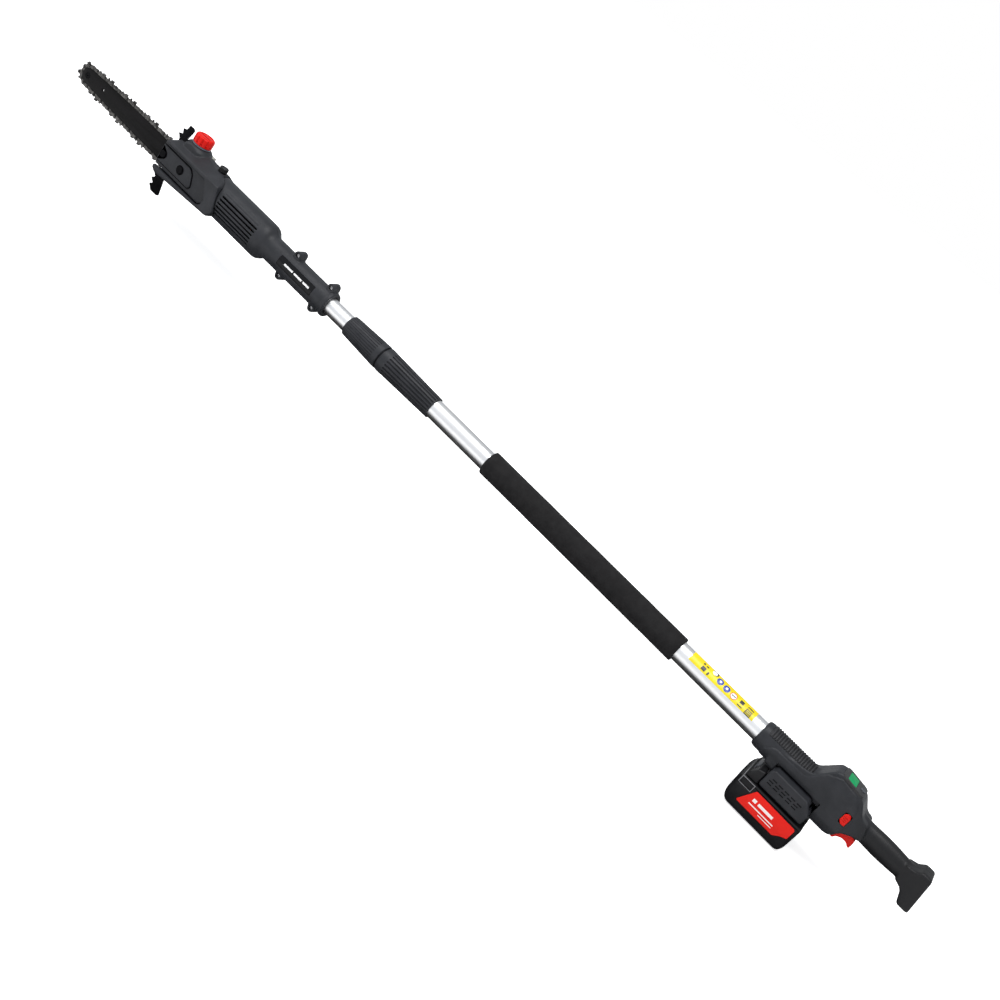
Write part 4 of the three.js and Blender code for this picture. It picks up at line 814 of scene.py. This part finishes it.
dock = slab("dock_shell", [(171, -42, 3), (247, -42, 3), (247, -15.5, 4), (241.5, -10, 4), (184, -10, 6),
                           (171, -25, 6)], -38, 38)
round_edges(dock, 2.2, steps=4, angle=50)
combine(dock, "UNION", block("saddle", 171, 247, -17, 17, -13, -6))
dashes = []
for row, z in enumerate((-21.5, -26, -30.5)):
    for i in range(5):
        x = 186 + 11 * i + 3 * row - (3 if row == 2 else 0)
        for side in (-1, 1):
            dashes.append(block("dash", x, x + 7.5, side * 38 - 1.1, side * 38 + 1.1, z - 0.8, z + 0.8))
dash_tool = gather("dashes", dashes)
combine(dock, "DIFFERENCE", dash_tool)
carve(
    dock,
    block("rail_room", 176, 250, -31, 31, -37, -15),
    block("rail_neck", 176, 250, -26, 26, -45, -36),
    rod("tube_seat", 16.3, 150, 300, (0, 0, 0), axis="X", sides=64))
dress(smooth(dock, 35), charcoal, "handle", "charcoal_plastic", "battery_dock")

# ---------------------------------------------------------------- battery pack
# A deep black case with a round belly holds ten cells under a flat deck. Its rail tower goes into
# the dock, and the nose in front carries the grey release key.

black_nylon = finish_of("black_nylon", (0.004, 0.004, 0.005), (0.008, 0.008, 0.009), 0.40,
                        patch=60, grain=1400, relief=0.05, specular=0.22, painted_crevice_shade=2.0)
case = combine(
    slab("pack_case", [(271, -50, 1), (163, -50, 1), (164.4, -97, 15), (272.4, -97, 24), (273, -58, 3)], -38, 38),
    "INTERSECT",
    slab("from_front", [(-38, -97, 7), (38, -97, 7), (38, -20, 2), (-38, -20, 2)], 160, 280, axis="X"),
    slab("from_above", [(163, -38, 8), (273, -38, 8), (273, 38, 8), (163, 38, 8)], -100, -40, axis="Z"))
recesses = [block("foot_line", 150, 290, side * 38 - 0.7, side * 38 + 0.7, -86.2, -85.2) for side in (-1, 1)]
for side in (-1, 1):
    y0, y1 = sorted((side * 37.3, side * 60))
    recesses.append(slab("clip_seat", [(245.4, -40), (245.4, -59), (266.4, -61.8), (280, -54), (280, -40)],
                         y0, y1))
combine(case, "DIFFERENCE", block("cell_room", 168, 267, -35.5, 35.5, -89, -40), gather("lines", recesses))
mould(case, 0.9, 3, keep=0.5)
dress(smooth(case, 40), black_nylon, "battery", "black_plastic", "battery_case_lower")

key_seat = slab("key_seat", [(266.1, -45.5), (265.5, -33.5), (261, -27.5), (255.5, -29), (258.5, -45.5)],
                -14.5, 14.5)
deck = slab("pack_deck", [(164, -49.7), (270, -49.7), (267, -46, 1), (165, -46, 1)], -38, 38)
round_edges(deck, 0.8, steps=2, angle=50)
nose = slab("pack_nose", [(248, -47), (268, -47), (265, -38, 3), (259, -27, 4), (251, -24.5, 3), (248, -24.5)],
            -35, 35)
round_edges(nose, 2.4, steps=4, angle=50)
combine(
    deck, "UNION", nose,
    block("tower_neck", 176.6, 249, -25, 25, -47, -36),
    block("tower_rail", 176.6, 249, -30, 30, -36.4, -23, edge=0.8),
    block("rear_hook", 164.5, 170.4, -16, 16, -47, -42.5, edge=0.6))
grooves = [block("grip_groove", 262.2 - 1.7 * i, 275, side * 20.5 - 4.5, side * 20.5 + 4.5,
                 -38.5 + 3.1 * i, -37.5 + 3.1 * i) for i in range(4) for side in (-1, 1)]
combine(deck, "DIFFERENCE", key_seat, block("terminal_room", 183, 239, -20, 20, -51, -26),
        gather("grip_grooves", grooves))
for side in (-1, 1):
    y0, y1 = sorted((side * 36.5, side * 38))
    clip = slab("side_clip", [(246, -47, 2), (246, -58.5, 3), (266, -61, 5), (270.5, -52, 4), (268.5, -47, 2)], y0, y1)
    round_edges(clip, 0.6, steps=2, angle=50)
    y0, y1 = sorted((side * 37.6, side * 40))
    hollow = slab("clip_hollow", [(248.2, -49.4, 1), (248.2, -56.8, 2), (264.6, -58.6, 3), (268, -51.6, 3),
                                  (266.8, -49.4, 1)], y0, y1)
    combine(deck, "UNION", combine(clip, "DIFFERENCE", hollow))
dress(smooth(deck, 40), black_nylon, "battery", "black_plastic", "battery_case_upper")

# painted highlight: a pale line round each clip stands in for light caught on its bevelled rim
nodes, links = black_nylon.node_tree.nodes, black_nylon.node_tree.links
parts = nodes.new("ShaderNodeSeparateXYZ")
links.new(nodes["Texture Coordinate"].outputs["Object"], parts.inputs[0])
around = parts.outputs["Z"]
skin = nodes["Principled BSDF"].inputs["Base Color"].links[0].from_socket
line = paint(skin, bar_mark(257.5 * mm, -53.4 * mm, 11.2 * mm, 6.2 * mm), (0.16, 0.16, 0.17))
line = paint(line, bar_mark(257.5 * mm, -53.4 * mm, 10.0 * mm, 5.0 * mm), (0.006, 0.006, 0.007))
links.new(line, nodes["Principled BSDF"].inputs["Base Color"])

key = slab("release_key", [(265.6, -41, 0.8), (265, -34, 2), (260.5, -28, 1), (257, -30), (260, -41)], -14, 14)
round_edges(key, 0.5, steps=2, angle=50)
ribs = [rod("rib", 0.45, -12, 12, (266 - 0.75 * i ** 1.3, 0, -39 + 2 * i), sides=12) for i in range(4)]
combine(key, "DIFFERENCE", gather("ribs", ribs))
dress(smooth(key), grey_nylon, "battery_latch", "grey_plastic", "battery_latch")

# The label is a red plate with plain pale bars and no words.
plate = slab("pack_label", [
    (240, -50.6, 1), (172, -51.5, 1), (169.5, -54, 1), (169.5, -70, 2), (178, -74, 3), (187, -81.5, 2),
    (254, -81.5, 2)], 38.1, 38.7)
round_edges(plate, 0.15, steps=2, angle=50)
label_red = finish_of("label_red", (0.66, 0.010, 0.005), (0.72, 0.014, 0.007), 0.38, grain=700, relief=0.004,
                      specular=0.15)
nodes, links = label_red.node_tree.nodes, label_red.node_tree.links
parts = nodes.new("ShaderNodeSeparateXYZ")
links.new(nodes["Texture Coordinate"].outputs["Object"], parts.inputs[0])
around = parts.outputs["Z"]
bars = nodes["Color Ramp"].outputs["Color"]
for along, up, half_length, half_height in ((214, -63.4, 13, 2.2), (233.5, -63.4, 3, 2.6), (216, -71.2, 22, 0.9),
                                            (206, -75.4, 12, 0.6)):
    bars = paint(bars, bar_mark(along * mm, up * mm, half_length * mm, half_height * mm), (0.8, 0.74, 0.72))
links.new(bars, nodes["Principled BSDF"].inputs["Base Color"])
dress(smooth(plate), label_red, "battery", "red_label", "battery_label")

# ---------------------------------------------------------------- neck and motor housing
# Two shells clamp the upper tube in a slim neck with four screw bosses, and swell into the
# motor's housing, which has six cooling slots on each side.

squash = 0.953
motor_shell = ring_stack("motor_shell", millimetres([
    (1335, 20.0), (1340, 21.8), (1344, 24.0), (1349, 28.6), (1353, 31.0), (1358, 32), (1477.4, 32)]), sides=128)
place(motor_shell, scale=(1, squash, 1))
neck = ring_stack("neck", millimetres([
    (1199, 21.4), (1200, 22.2), (1204.4, 22.2), (1206.4, 21.2), (1346, 21.2)]), sides=96)
combine(motor_shell, "UNION", neck)
bosses = ((1211, 25.7), (1289, 25.7), (1221, -21.7), (1299, -21.7))
for x, z in bosses:
    side = 1 if z > 0 else -1
    post = rod("post", 7, -10, 10, (x, 0, z), sides=48)
    web = slab("web", [(x - 8.5, side * 15), (x + 8.5, side * 15), (x + 6.6, z), (x - 6.6, z)], -9, 9)
    combine(motor_shell, "UNION", post, web)
mould(motor_shell, 0.9, 8)
tube_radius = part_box("inner_tube")[1].z / mm
carve(
    motor_shell,
    rod("tube_seat", tube_radius + 0.25, 1190, 1330, (0, 0, 0), axis="X", sides=64),
    rod("lead_way", 12, 1329, 1347, (0, 0, 0), axis="X"),
    place(ring_stack("motor_room", millimetres([(1345, 17), (1357, 29.4), (1480, 29.4)]), sides=96),
          scale=(1, squash, 1)),
    block("notch", 1465, 1490, 20, 60, -60, 60))
vents = []
for angle in (-30, -18, -6, 6, 18, 30):
    for side in (0, 180):
        slot_tool = block("vent", 1364, 1448, 25, 40, -1.3, 1.3, edge=1.2)
        vents.append(place(slot_tool, (0, 0, 0), (radians(side + angle), 0, 0)))
for angle in (-54, -42, 40, 49):
    for side in (1, -1):
        turn = radians(angle if side > 0 else 180 - angle)
        line = place(block("rib_line", 1366, 1446, 30.4, 40, -0.9, 0.9, edge=0.8), (0, 0, 0), (turn, 0, 0))
        vents.append(line)
for x, z in bosses:
    vents.append(combine(rod("head_room", 3.4, 4.7, 20, (x, 0, z), sides=24), "UNION",
                         rod("shank_room", 1.9, -8.3, 6, (x, 0, z))))
combine(motor_shell, "DIFFERENCE", gather("vents", vents))
badge_wedge = [(0, 0), (40, -8.5), (40, 27)]
badge_seat = ring_stack("badge_seat", millimetres([(1228.7, 19.9), (1228.7, 25), (1307.3, 25), (1307.3, 19.9)]),
                        closed=True)
combine(badge_seat, "INTERSECT", slab("wedge", badge_wedge, 1200, 1320, axis="X"))
combine(motor_shell, "DIFFERENCE", badge_seat)
mould(motor_shell, 0.75, 2, keep=0.5)
motor_left, motor_right = split_shells(motor_shell)
motor_right.name = "motor_shell_r"
motor_left.name = "motor_shell_l"
dress(smooth(motor_left, 50), charcoal, "head", "charcoal_plastic", "motor_shell_left")
dress(smooth(motor_right, 50), charcoal, "head", "charcoal_plastic", "motor_shell_right")

# a plain glossy badge lies in a seat on the left of the neck
badge = ring_stack("gloss_badge", millimetres([
    (1229, 20.2), (1229, 21.1), (1229.4, 21.5), (1306.6, 21.5), (1307, 21.1), (1307, 20.2)]),
    sides=128, closed=True)
combine(badge, "INTERSECT", slab("wedge", [(0, 0), (40, -8.1), (40, 26.5)], 1200, 1320, axis="X"))
gloss = finish_of("gloss_black", (0.002, 0.002, 0.003), (0.003, 0.003, 0.004), 0.16, grain=300, relief=0.0,
                  specular=0.18)
nodes, links = gloss.node_tree.nodes, gloss.node_tree.links
parts = nodes.new("ShaderNodeSeparateXYZ")
links.new(nodes["Texture Coordinate"].outputs["Object"], parts.inputs[0])
around = parts.outputs["Z"]
stripes = nodes["Color Ramp"].outputs["Color"]
for along, half_length in ((1243, 7), (1262, 9), (1284, 10)):
    stripes = paint(stripes, bar_mark(along * mm, 4.4 * mm, half_length * mm, 1.5 * mm), (0.75, 0.75, 0.75))
links.new(stripes, nodes["Principled BSDF"].inputs["Base Color"])
dress(smooth(badge, 40), gloss, "head", "gloss_badge", "neck_badge")

# ---------------------------------------------------------------- head casing
# A tall casting-like moulding on the motor's end carries the gears, the tank and the bar. Its top
# slopes down on both sides from a ridge, and a round turret on the ridge holds the filler.

head_x = 1474
bar_z = -2.7


def at_head(corners):
    return [(head_x + corner[0], *corner[1:]) for corner in corners]


casing = slab("head_shell", at_head([
    (-22, -28, 4), (102, -36, 3), (110, -31, 4), (110, 18, 5), (97, 33, 5), (92, 37, 3), (50, 37, 8),
    (26, 33.5, 8), (4, 33, 6), (-10, 29, 6), (-16, 24, 5), (-30, -18, 8)]), -30, 35)
round_edges(casing, 3.5, steps=4, angle=60)
combine(
    casing, "DIFFERENCE",
    block("step_back", 1400, 1478, -80, 8, -80, 80),
    slab("near_slope", [(70, 7.6), (2, 36.5), (2, 90), (70, 90)], 1400, 1700, axis="X"),
    slab("far_slope", [(-60, 5.3), (-60, 90), (-4, 90), (-4, 36.5)], 1400, 1700, axis="X"))
turret = ring_stack("turret", millimetres([(20, 26), (34, 24), (38, 20.8), (39.6, 18.6), (40.5, 16)]), sides=96)
cap_x = 1546.5
place(turret, (0, 0, 0), (0, -pi / 2, 0))
place(turret, (cap_x * mm, 0, 0))
combine(turret, "DIFFERENCE", block("beside_cover", 1474, 1674, 21, 60, 0, 60))
combine(casing, "UNION", turret)
mould(casing, 0.9, 7)

# the chain's path: straight from the drive sprocket to the belly, a wide arc to the nose
rail_z, nose_r, nose_x, belly_x = 16.4, 12.5, 1787.7, 1620.0
pitch, link_count = 9.525, 72
pitch_line = 3.55
arc_r = ((nose_x - belly_x) ** 2 / (rail_z - nose_r) + rail_z + nose_r) / 2
arc_angle = asin((nose_x - belly_x) / (arc_r - nose_r))
rail_run = arc_angle * (arc_r + pitch_line)
nose_run = (pi - 2 * arc_angle) * (nose_r + pitch_line)
rear_run = pi * (rail_z + pitch_line)
straight_run = (pitch * link_count - 2 * rail_run - nose_run - rear_run) / 2
sprocket_x = belly_x - straight_run


def on_path(distance, out):
    """A point outside the rails and the turn of the chain there, from the distance along it."""
    s = distance % (pitch * link_count)
    if s < straight_run:
        return sprocket_x + s, bar_z + rail_z + out, 0
    s -= straight_run
    if s < rail_run:
        a = s / (arc_r + pitch_line)
        return belly_x + (arc_r + out) * sin(a), bar_z + rail_z - arc_r + (arc_r + out) * cos(a), a
    s -= rail_run
    if s < nose_run:
        a = arc_angle + s / (nose_r + pitch_line)
        return nose_x + (nose_r + out) * sin(a), bar_z + (nose_r + out) * cos(a), a
    s -= nose_run
    if s < rail_run:
        a = arc_angle - s / (arc_r + pitch_line)
        return belly_x + (arc_r + out) * sin(a), bar_z - rail_z + arc_r - (arc_r + out) * cos(a), pi - a
    s -= rail_run
    if s < straight_run:
        return belly_x - s, bar_z - rail_z - out, pi
    a = (s - straight_run) / (rail_z + pitch_line)
    return sprocket_x - (rail_z + out) * sin(a), bar_z - (rail_z + out) * cos(a), pi + a


def loop(out, steps=160, rear=None):
    """The closed outline at a distance outside the rails; rear squares it off behind."""
    corners = []
    for i in range(steps):
        x, z, turn = on_path(i * pitch * link_count / steps, out)
        if rear is None or x > rear + 4:
            corners.append((x, z))
    if rear is not None:
        high = rail_z + out
        corners += [(rear + 3, bar_z - high), (rear, bar_z - high + 3), (rear, bar_z + high - 3),
                    (rear + 3, bar_z + high)]
    return corners


cover_outline = [(112, -25), (112, 18), (12, 17), (-4, -10), (-3, -19), (4, -25)]
seat_outline = [(130, -25.6), (130, 18.6), (11.6, 17.6), (-4.8, -9.7), (-3.7, -19.3), (3.8, -25.6)]
motor_end = place(ring_stack("motor_end", millimetres([(1404, 32.3), (1478, 32.3)]), sides=96), scale=(1, squash, 1))
combine(motor_end, "DIFFERENCE", block("notch", 1465.3, 1490, 20.3, 60, -60, 60))
carve(
    casing, motor_end,
    slab("chain_room", loop(10.8, 96), 11.4, 26.7),
    slab("cover_seat", at_head(seat_outline), 26.6, 60),
    block("bumper_room_top", 1560, 1592, 11.4, 14.4, 18, 60),
    block("bumper_room_low", 1560, 1594, 11.4, 14.4, -60, -24),
    rod("gear_room", 21, -31, 4, (sprocket_x, 0, bar_z), sides=64),
    rod("pinion_room", 7.6, 1474, sprocket_x, (0, 0, bar_z), axis="X"),
    rod("bearing_seat", 11.3, 3, 9.9, (sprocket_x, 0, bar_z), sides=48),
    rod("shaft_way", 6, 3, 12.4, (sprocket_x, 0, bar_z)),
    block("tank_room", 1524.7, 1564.3, -22.3, 9.3, 15.7, 33.3),
    rod("filler_way", 12.8, 20, 60, (cap_x, 0, 0), axis="Z", sides=64),
    rod("stud_way", 4.2, -4.2, 12.4, (1535.5, 0, bar_z)),
    rod("stud_way", 4.2, -4.2, 12.4, (1577.5, 0, bar_z)),
    rod("knob_way", 3.3, 22, 40, (1488, 0, 0), axis="Z"),
    block("pump_room", 1529.7, 1556.3, -20.3, -5.7, -20.3, -7.7),
    rod("oil_way", 2, -13, 16, (1543, -10, 0), axis="Z"))
mould(casing, 0.85, 2, keep=0.5)
dress(smooth(casing, 50), charcoal, "head", "charcoal_plastic", "head_casing")

cover = slab("chain_cover", at_head([(111.6, -23.6, 1), (111.6, 16.4, 1), (13.5, 15.4, 6), (-1.8, -10, 6),
                                     (-1, -17.8, 5), (5, -23.6, 4)]), 27, 29.5)
round_edges(cover, 0.7, steps=3, angle=50)
moat = slab("moat", at_head([(130, -18.4), (130, 13.4), (45, 13.4, 9), (36.6, 5.5, 7), (29.4, -12, 6),
                             (33, -18.4, 5)]), 28.2, 40)
step = slab("raised_step", at_head([(111, -17, 1), (111, 12, 1), (46, 12, 8), (38, 5, 6), (31, -12, 5),
                                    (34, -17, 4)]), 28, 31.5)
round_edges(step, 1.0, steps=3, angle=50)
combine(combine(cover, "DIFFERENCE", moat), "UNION", step)
for x in (1535.5, 1577.5):
    combine(cover, "DIFFERENCE", rod("nut_room", 7.8, 29.4, 60, (x, 0, bar_z), sides=48),
            rod("stud_hole", 4.3, 0, 60, (x, 0, bar_z)))
dress(smooth(cover, 40), charcoal, "head", "charcoal_plastic", "sprocket_cover")

flange = rod("gear_lid", 20.7, -30, -25, (sprocket_x, 0, bar_z), sides=96)
round_edges(flange, 0.6, steps=2, angle=50)
combine(flange, "DIFFERENCE", rod("bearing_seat", 11.3, -28, 0, (sprocket_x, 0, bar_z), sides=48))
for i in range(4):
    angle = radians(45 + 90 * i)
    centre = (sprocket_x + 16.5 * cos(angle), 0, bar_z + 16.5 * sin(angle))
    combine(flange, "DIFFERENCE", rod("screw_seat", 2.6, -31, -28.6, centre, sides=24))
dress(smooth(flange, 40), black_nylon, "head", "black_plastic", "gearbox_cover")

# ---------------------------------------------------------------- bar nuts and studs
# Two blackened flange nuts on steel studs clamp the cover and the bar.

blackened = finish_of("blackened_steel", (0.0015, 0.0015, 0.002), (0.004, 0.004, 0.005), 0.5, patch=150,
                      grain=2000, relief=0.02, specular=0.05)
for i, x in enumerate((1535.5, 1577.5)):
    hexagon = rod("hexagon", 6.4, 29.5, 34, (x, 0, bar_z), sides=6)
    dome = ring_stack("dome", millimetres([(28, 8), (31.8, 8), (34, 5.2)]), sides=48)
    place(dome, (0, 0, 0), (0, 0, pi / 2))
    combine(hexagon, "INTERSECT", place(dome, (x * mm, 0, bar_z * mm)))
    washer = ring_stack("washer", millimetres([(29.5, 7.4), (30.4, 7.4), (31, 6.4)]), sides=48)
    place(washer, (0, 0, 0), (0, 0, pi / 2))
    combine(hexagon, "UNION", place(washer, (x * mm, 0, bar_z * mm)))
    combine(hexagon, "DIFFERENCE", rod("thread", 4.1, 20, 31.9, (x, 0, bar_z)))
    hexagon.name = f"flange_nut_{i + 1}"
    node = ("cover_nut_rear", "cover_nut_front")[i]
    dress(smooth(hexagon), blackened, "head", "black_steel", node)

# ---------------------------------------------------------------- bumper
# A laser-cut steel plate with teeth above and below the bar rests against the branch.

bumper = slab("toothed_plate", at_head([
    (92, -41, 2), (86, -70, 2), (90, -72, 1), (104, -72, 1), (113, -64, 0.6), (107, -60, 1), (115, -54, 0.6),
    (109, -49, 1), (116, -43, 0.6), (106, -38, 1), (104, -30, 2), (104, 22, 2), (106, 30, 1), (112, 36, 0.6),
    (104, 39, 1), (108, 46.5, 0.6), (101, 49, 1), (99, 58, 0.6), (90, 58, 1), (87, 55, 1), (92, 34, 2),
    (90, 22, 2), (88, 0, 2), (90, -30, 2)]), 11.7, 14)
round_edges(bumper, 0.3, steps=2, angle=50)
combine(bumper, "DIFFERENCE", rod("stud_hole", 4.3, 0, 30, (1577.5, 0, bar_z)))
dress(smooth(bumper), blackened, "head", "black_steel", "spiked_bumper")

# ---------------------------------------------------------------- filler, cap and knob
# A grey collar seals the tank's neck to the turret. The red cap has deep finger flutes and the
# black knob behind it clamps the head's angle.


def upright(name, profile, x, sides=96, closed=False):
    """A turned piece on the upright axis through (x, 0), from (height, radius) in millimetres."""
    piece = ring_stack(name, millimetres(profile), sides, closed)
    place(piece, (0, 0, 0), (0, -pi / 2, 0))
    return place(piece, (x * mm, 0, 0))


collar = upright("filler_ring", [(40.8, 12.8), (40.8, 16), (42, 15.9), (43.1, 15), (43.1, 12.8)], cap_x,
                 closed=True)
blue_grey = finish_of("blue_grey_nylon", (0.075, 0.085, 0.11), (0.10, 0.11, 0.14), 0.42, grain=1200, relief=0.03)
dress(smooth(collar), blue_grey, "head", "grey_plastic", "filler_collar")

cap = upright("fluted_cap", [
    (43.5, 15.9), (44.2, 16.5), (54.6, 16.5), (56.3, 15.9), (57.6, 14.6), (58.3, 12.8), (58.4, 11.2),
    (57.7, 10.4), (57.5, 9.6), (57.5, 0.2)], cap_x, sides=128)
flutes = []
for i in range(12):
    angle = 2 * pi * i / 12
    flutes.append(rod("flute", 2.0, 46, 62, (cap_x + 17.1 * cos(angle), 17.1 * sin(angle), 0), axis="Z",
                      sides=24))
combine(cap, "DIFFERENCE", gather("flutes", flutes), rod("neck_room", 12.8, 40, 54, (cap_x, 0, 0), axis="Z",
                                                        sides=64))
handle_bar = block("key_bar", cap_x - 9, cap_x + 9, -1.6, 1.6, 56, 58.3, edge=0.7)
combine(cap, "UNION", handle_bar)
dress(smooth(round_edges(cap, 0.35, steps=2, angle=50)), red_nylon, "oil_cap", "red_plastic", "oil_cap")

knob = upright("knurled_knob", [
    (24.2, 3), (33.9, 3), (33.9, 6.9), (34.6, 7.5), (41, 7.5), (41.8, 6.8), (42, 5.2), (41.3, 4.6),
    (41.3, 0.2)], 1488, sides=96)
knurls = []
for i in range(18):
    angle = 2 * pi * i / 18
    knurls.append(rod("knurl", 0.75, 30, 50, (1488 + 7.8 * cos(angle), 7.8 * sin(angle), 0), axis="Z", sides=12))
combine(knob, "DIFFERENCE", gather("knurls", knurls))
dress(smooth(knob), black_nylon, "clamp_knob", "black_plastic", "clamp_knob")

# ---------------------------------------------------------------- guide bar
# Three plates are riveted and welded into a bar with a groove all round for the chain. The outer
# plates are blackened, the rails are worn bright, and a small wheel turns in the nose.

low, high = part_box("guide_bar")
bar_near, bar_far = high.y / mm, low.y / mm
bar_y = (bar_near + bar_far) / 2
bar_rear = low.x / mm
groove_half = 0.65
bar = slab("laminated_bar", loop(0, 220, bar_rear), bar_far, bar_near)
round_edges(bar, 0.3, steps=2, angle=50)
groove = combine(slab("groove", loop(2, 160), bar_y - groove_half, bar_y + groove_half), "DIFFERENCE",
                 slab("core", loop(-6.5, 160, bar_rear + 4), bar_y - 2, bar_y + 2))
combine(
    bar, "DIFFERENCE", groove,
    slab("slot", [(bar_rear - 8, bar_z - 4.3), (1585.5, bar_z - 4.3, 4), (1585.5, bar_z + 4.3, 4),
                  (bar_rear - 8, bar_z + 4.3)], bar_far - 2, bar_near + 2),
    rod("axle_hole", 5.3, 0, 40, (nose_x, 0, bar_z), sides=48),
    rod("nose_hole", 2.6, 0, 40, (nose_x - 40, 0, bar_z)))
bar_black = finish_of("bar_lacquer", (0.003, 0.003, 0.003), (0.006, 0.0055, 0.006), 0.45,
                      patch=70, grain=1600, relief=0.01, stretch=(0.2, 1, 1), specular=0.08)
dress(smooth(bar), bar_black, "head", "black_steel", "guide_bar")

hub = ring_stack("nose_hub", millimetres([
    (bar_far, 4.6), (bar_far + 0.4, 5), (bar_near - 0.4, 5), (bar_near, 4.6), (bar_near, 1.6),
    (bar_far, 1.6)]), sides=48, closed=True)
place(hub, (0, 0, 0), (0, 0, pi / 2))
dress(smooth(place(hub, (nose_x * mm, 0, bar_z * mm))), blackened, "nose_sprocket", "steel",
      "nose_sprocket")

# ---------------------------------------------------------------- saw chain
# Low-profile chain: drive links whose tangs run in the groove, side straps, and left and right
# cutters with a depth gauge, a gullet and a leaning top plate. Rivets join them at every pitch.

oiled_steel = finish_of("oiled_steel", (0.010, 0.010, 0.010), (0.13, 0.125, 0.12), 0.34, metallic=0.85,
                        patch=260, grain=2400, relief=0.02)


def strap(name, near, far):
    return slab(name, [(-7.4, -2.2, 2), (-5, -2.9, 2), (0, -2.1, 2), (5, -2.9, 2), (7.4, -2.2, 2), (7.4, 2.2, 2),
                       (5, 2.9, 2), (0, 2.1, 2), (-5, 2.9, 2), (-7.4, 2.2, 2)], near, far)


def cutter(name, side):
    """One cutter whose plate bends over the top of the chain towards its own side."""
    near, far = sorted((side * 0.75, side * 1.85))
    plate = slab(name, [(-7.4, -2.2), (-5, -2.9), (5, -2.9), (7.4, -2.2), (7.4, 2.0), (6.6, 4.8), (4.4, 5.0),
                        (3.2, 2.4), (0.4, 2.2), (-0.6, 5.4), (-6.6, 5.0), (-7.4, 2.2)], near, far)
    y0, y1 = sorted((side * -0.6, side * 3.4))
    top = slab("top_plate", [(-6.6, y0), (-1.4 + 0.6 * side, y0), (-1.4 - 0.6 * side, y1), (-6.6, y1)],
               4.5, 5.4, axis="Z")
    return combine(plate, "UNION", top)


def copy_along(template, distance):
    """A copy of a link with its middle at a distance along the chain's path."""
    x, z, turn = on_path(distance, pitch_line)
    use(template)
    bpy.ops.object.duplicate()
    return place(bpy.context.object, (x * mm, bar_y * mm, z * mm), (0, turn, 0))


drive = slab("drive_link", [
    (-7.2, -2.2), (-4.6, -2.9), (-3.8, -6.2), (-1.0, -8.4), (1.6, -8.2), (3.4, -5.6), (4.6, -2.9), (7.2, -2.2),
    (7.2, 2.2), (5, 2.9), (0, 2.3), (-5, 2.9), (-7.2, 2.2)], -0.55, 0.55)
plain = [strap("strap", 0.75, 1.85), strap("strap", -1.85, -0.75)]
blades = [cutter("cutter", -1), cutter("cutter", 1)]
rivet = rod("rivet", 1.7, -2.2, 2.2, (0, 0, 0), sides=12)
links_made = []
for i in range(link_count // 2):
    links_made.append(copy_along(drive, (2 * i + 0.5) * pitch))
    kind = i % 3
    pair = (blades[0], plain[0]) if kind == 0 else (plain[1], blades[1]) if kind == 1 else plain
    links_made += [copy_along(link, (2 * i + 1.5) * pitch) for link in pair]
    links_made += [copy_along(rivet, (2 * i) * pitch), copy_along(rivet, (2 * i + 1) * pitch)]
for template in (drive, *plain, *blades, rivet):
    bpy.data.objects.remove(template)
chain = gather("cutter_chain", links_made)
dress(smooth(chain, 30), oiled_steel, "head", "chain_steel", "saw_chain")

# ---------------------------------------------------------------- parts inside
# Pieces that the shells hide keep their turned and moulded shapes, and get their own metals,
# mouldings, windings and circuit board.

circuit = finish_of("circuit_board", (0.01, 0.09, 0.035), (0.015, 0.13, 0.05), 0.3, patch=300, grain=900,
                    relief=0.02)
copper = finish_of("copper_windings", (0.35, 0.12, 0.05), (0.55, 0.2, 0.08), 0.35, metallic=0.9,
                   patch=500, grain=2500, relief=0.1, stretch=(0.2, 1, 1))
cell_film = finish_of("cell_film", (0.02, 0.08, 0.22), (0.03, 0.11, 0.3), 0.35, patch=120, grain=700,
                      relief=0.01)
lead_skin = finish_of("lead_skin", (0.01, 0.01, 0.011), (0.02, 0.02, 0.022), 0.55, patch=200, grain=900,
                      relief=0.05)
cast_metal = finish_of("cast_aluminium", (0.42, 0.43, 0.45), (0.55, 0.56, 0.58), 0.48, metallic=1.0,
                       patch=120, grain=700, relief=0.1)
tank_nylon = finish_of("tank_nylon", (0.35, 0.35, 0.32), (0.42, 0.42, 0.38), 0.4, grain=900, relief=0.04)
inner_finishes = {
    circuit: ("control_board",),
    copper: ("motor_rotor",),
    cell_film: ("battery_cells",),
    lead_skin: ("coiled_lead",),
    cast_metal: ("motor_mount",),
    tank_nylon: ("oil_tank", "oil_pump", "terminal_block", "lock_collet"),
    black_nylon: ("switch_module",),
    blackened: ("motor_can",),
    bright_steel: (
        "trigger_pin", "bar_stud_rear", "bar_stud_front", "shaft_bearing_far",
        "shaft_bearing_near", "bevel_pinion", "output_shaft", "bevel_gear", "drive_sprocket"),
}
for material, cad_nodes in inner_finishes.items():
    for cad_node in cad_nodes:
        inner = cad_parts[cad_node]
        if inner.material_slots:
            inner.material_slots[0].material = material
        else:
            inner.data.materials.append(material)
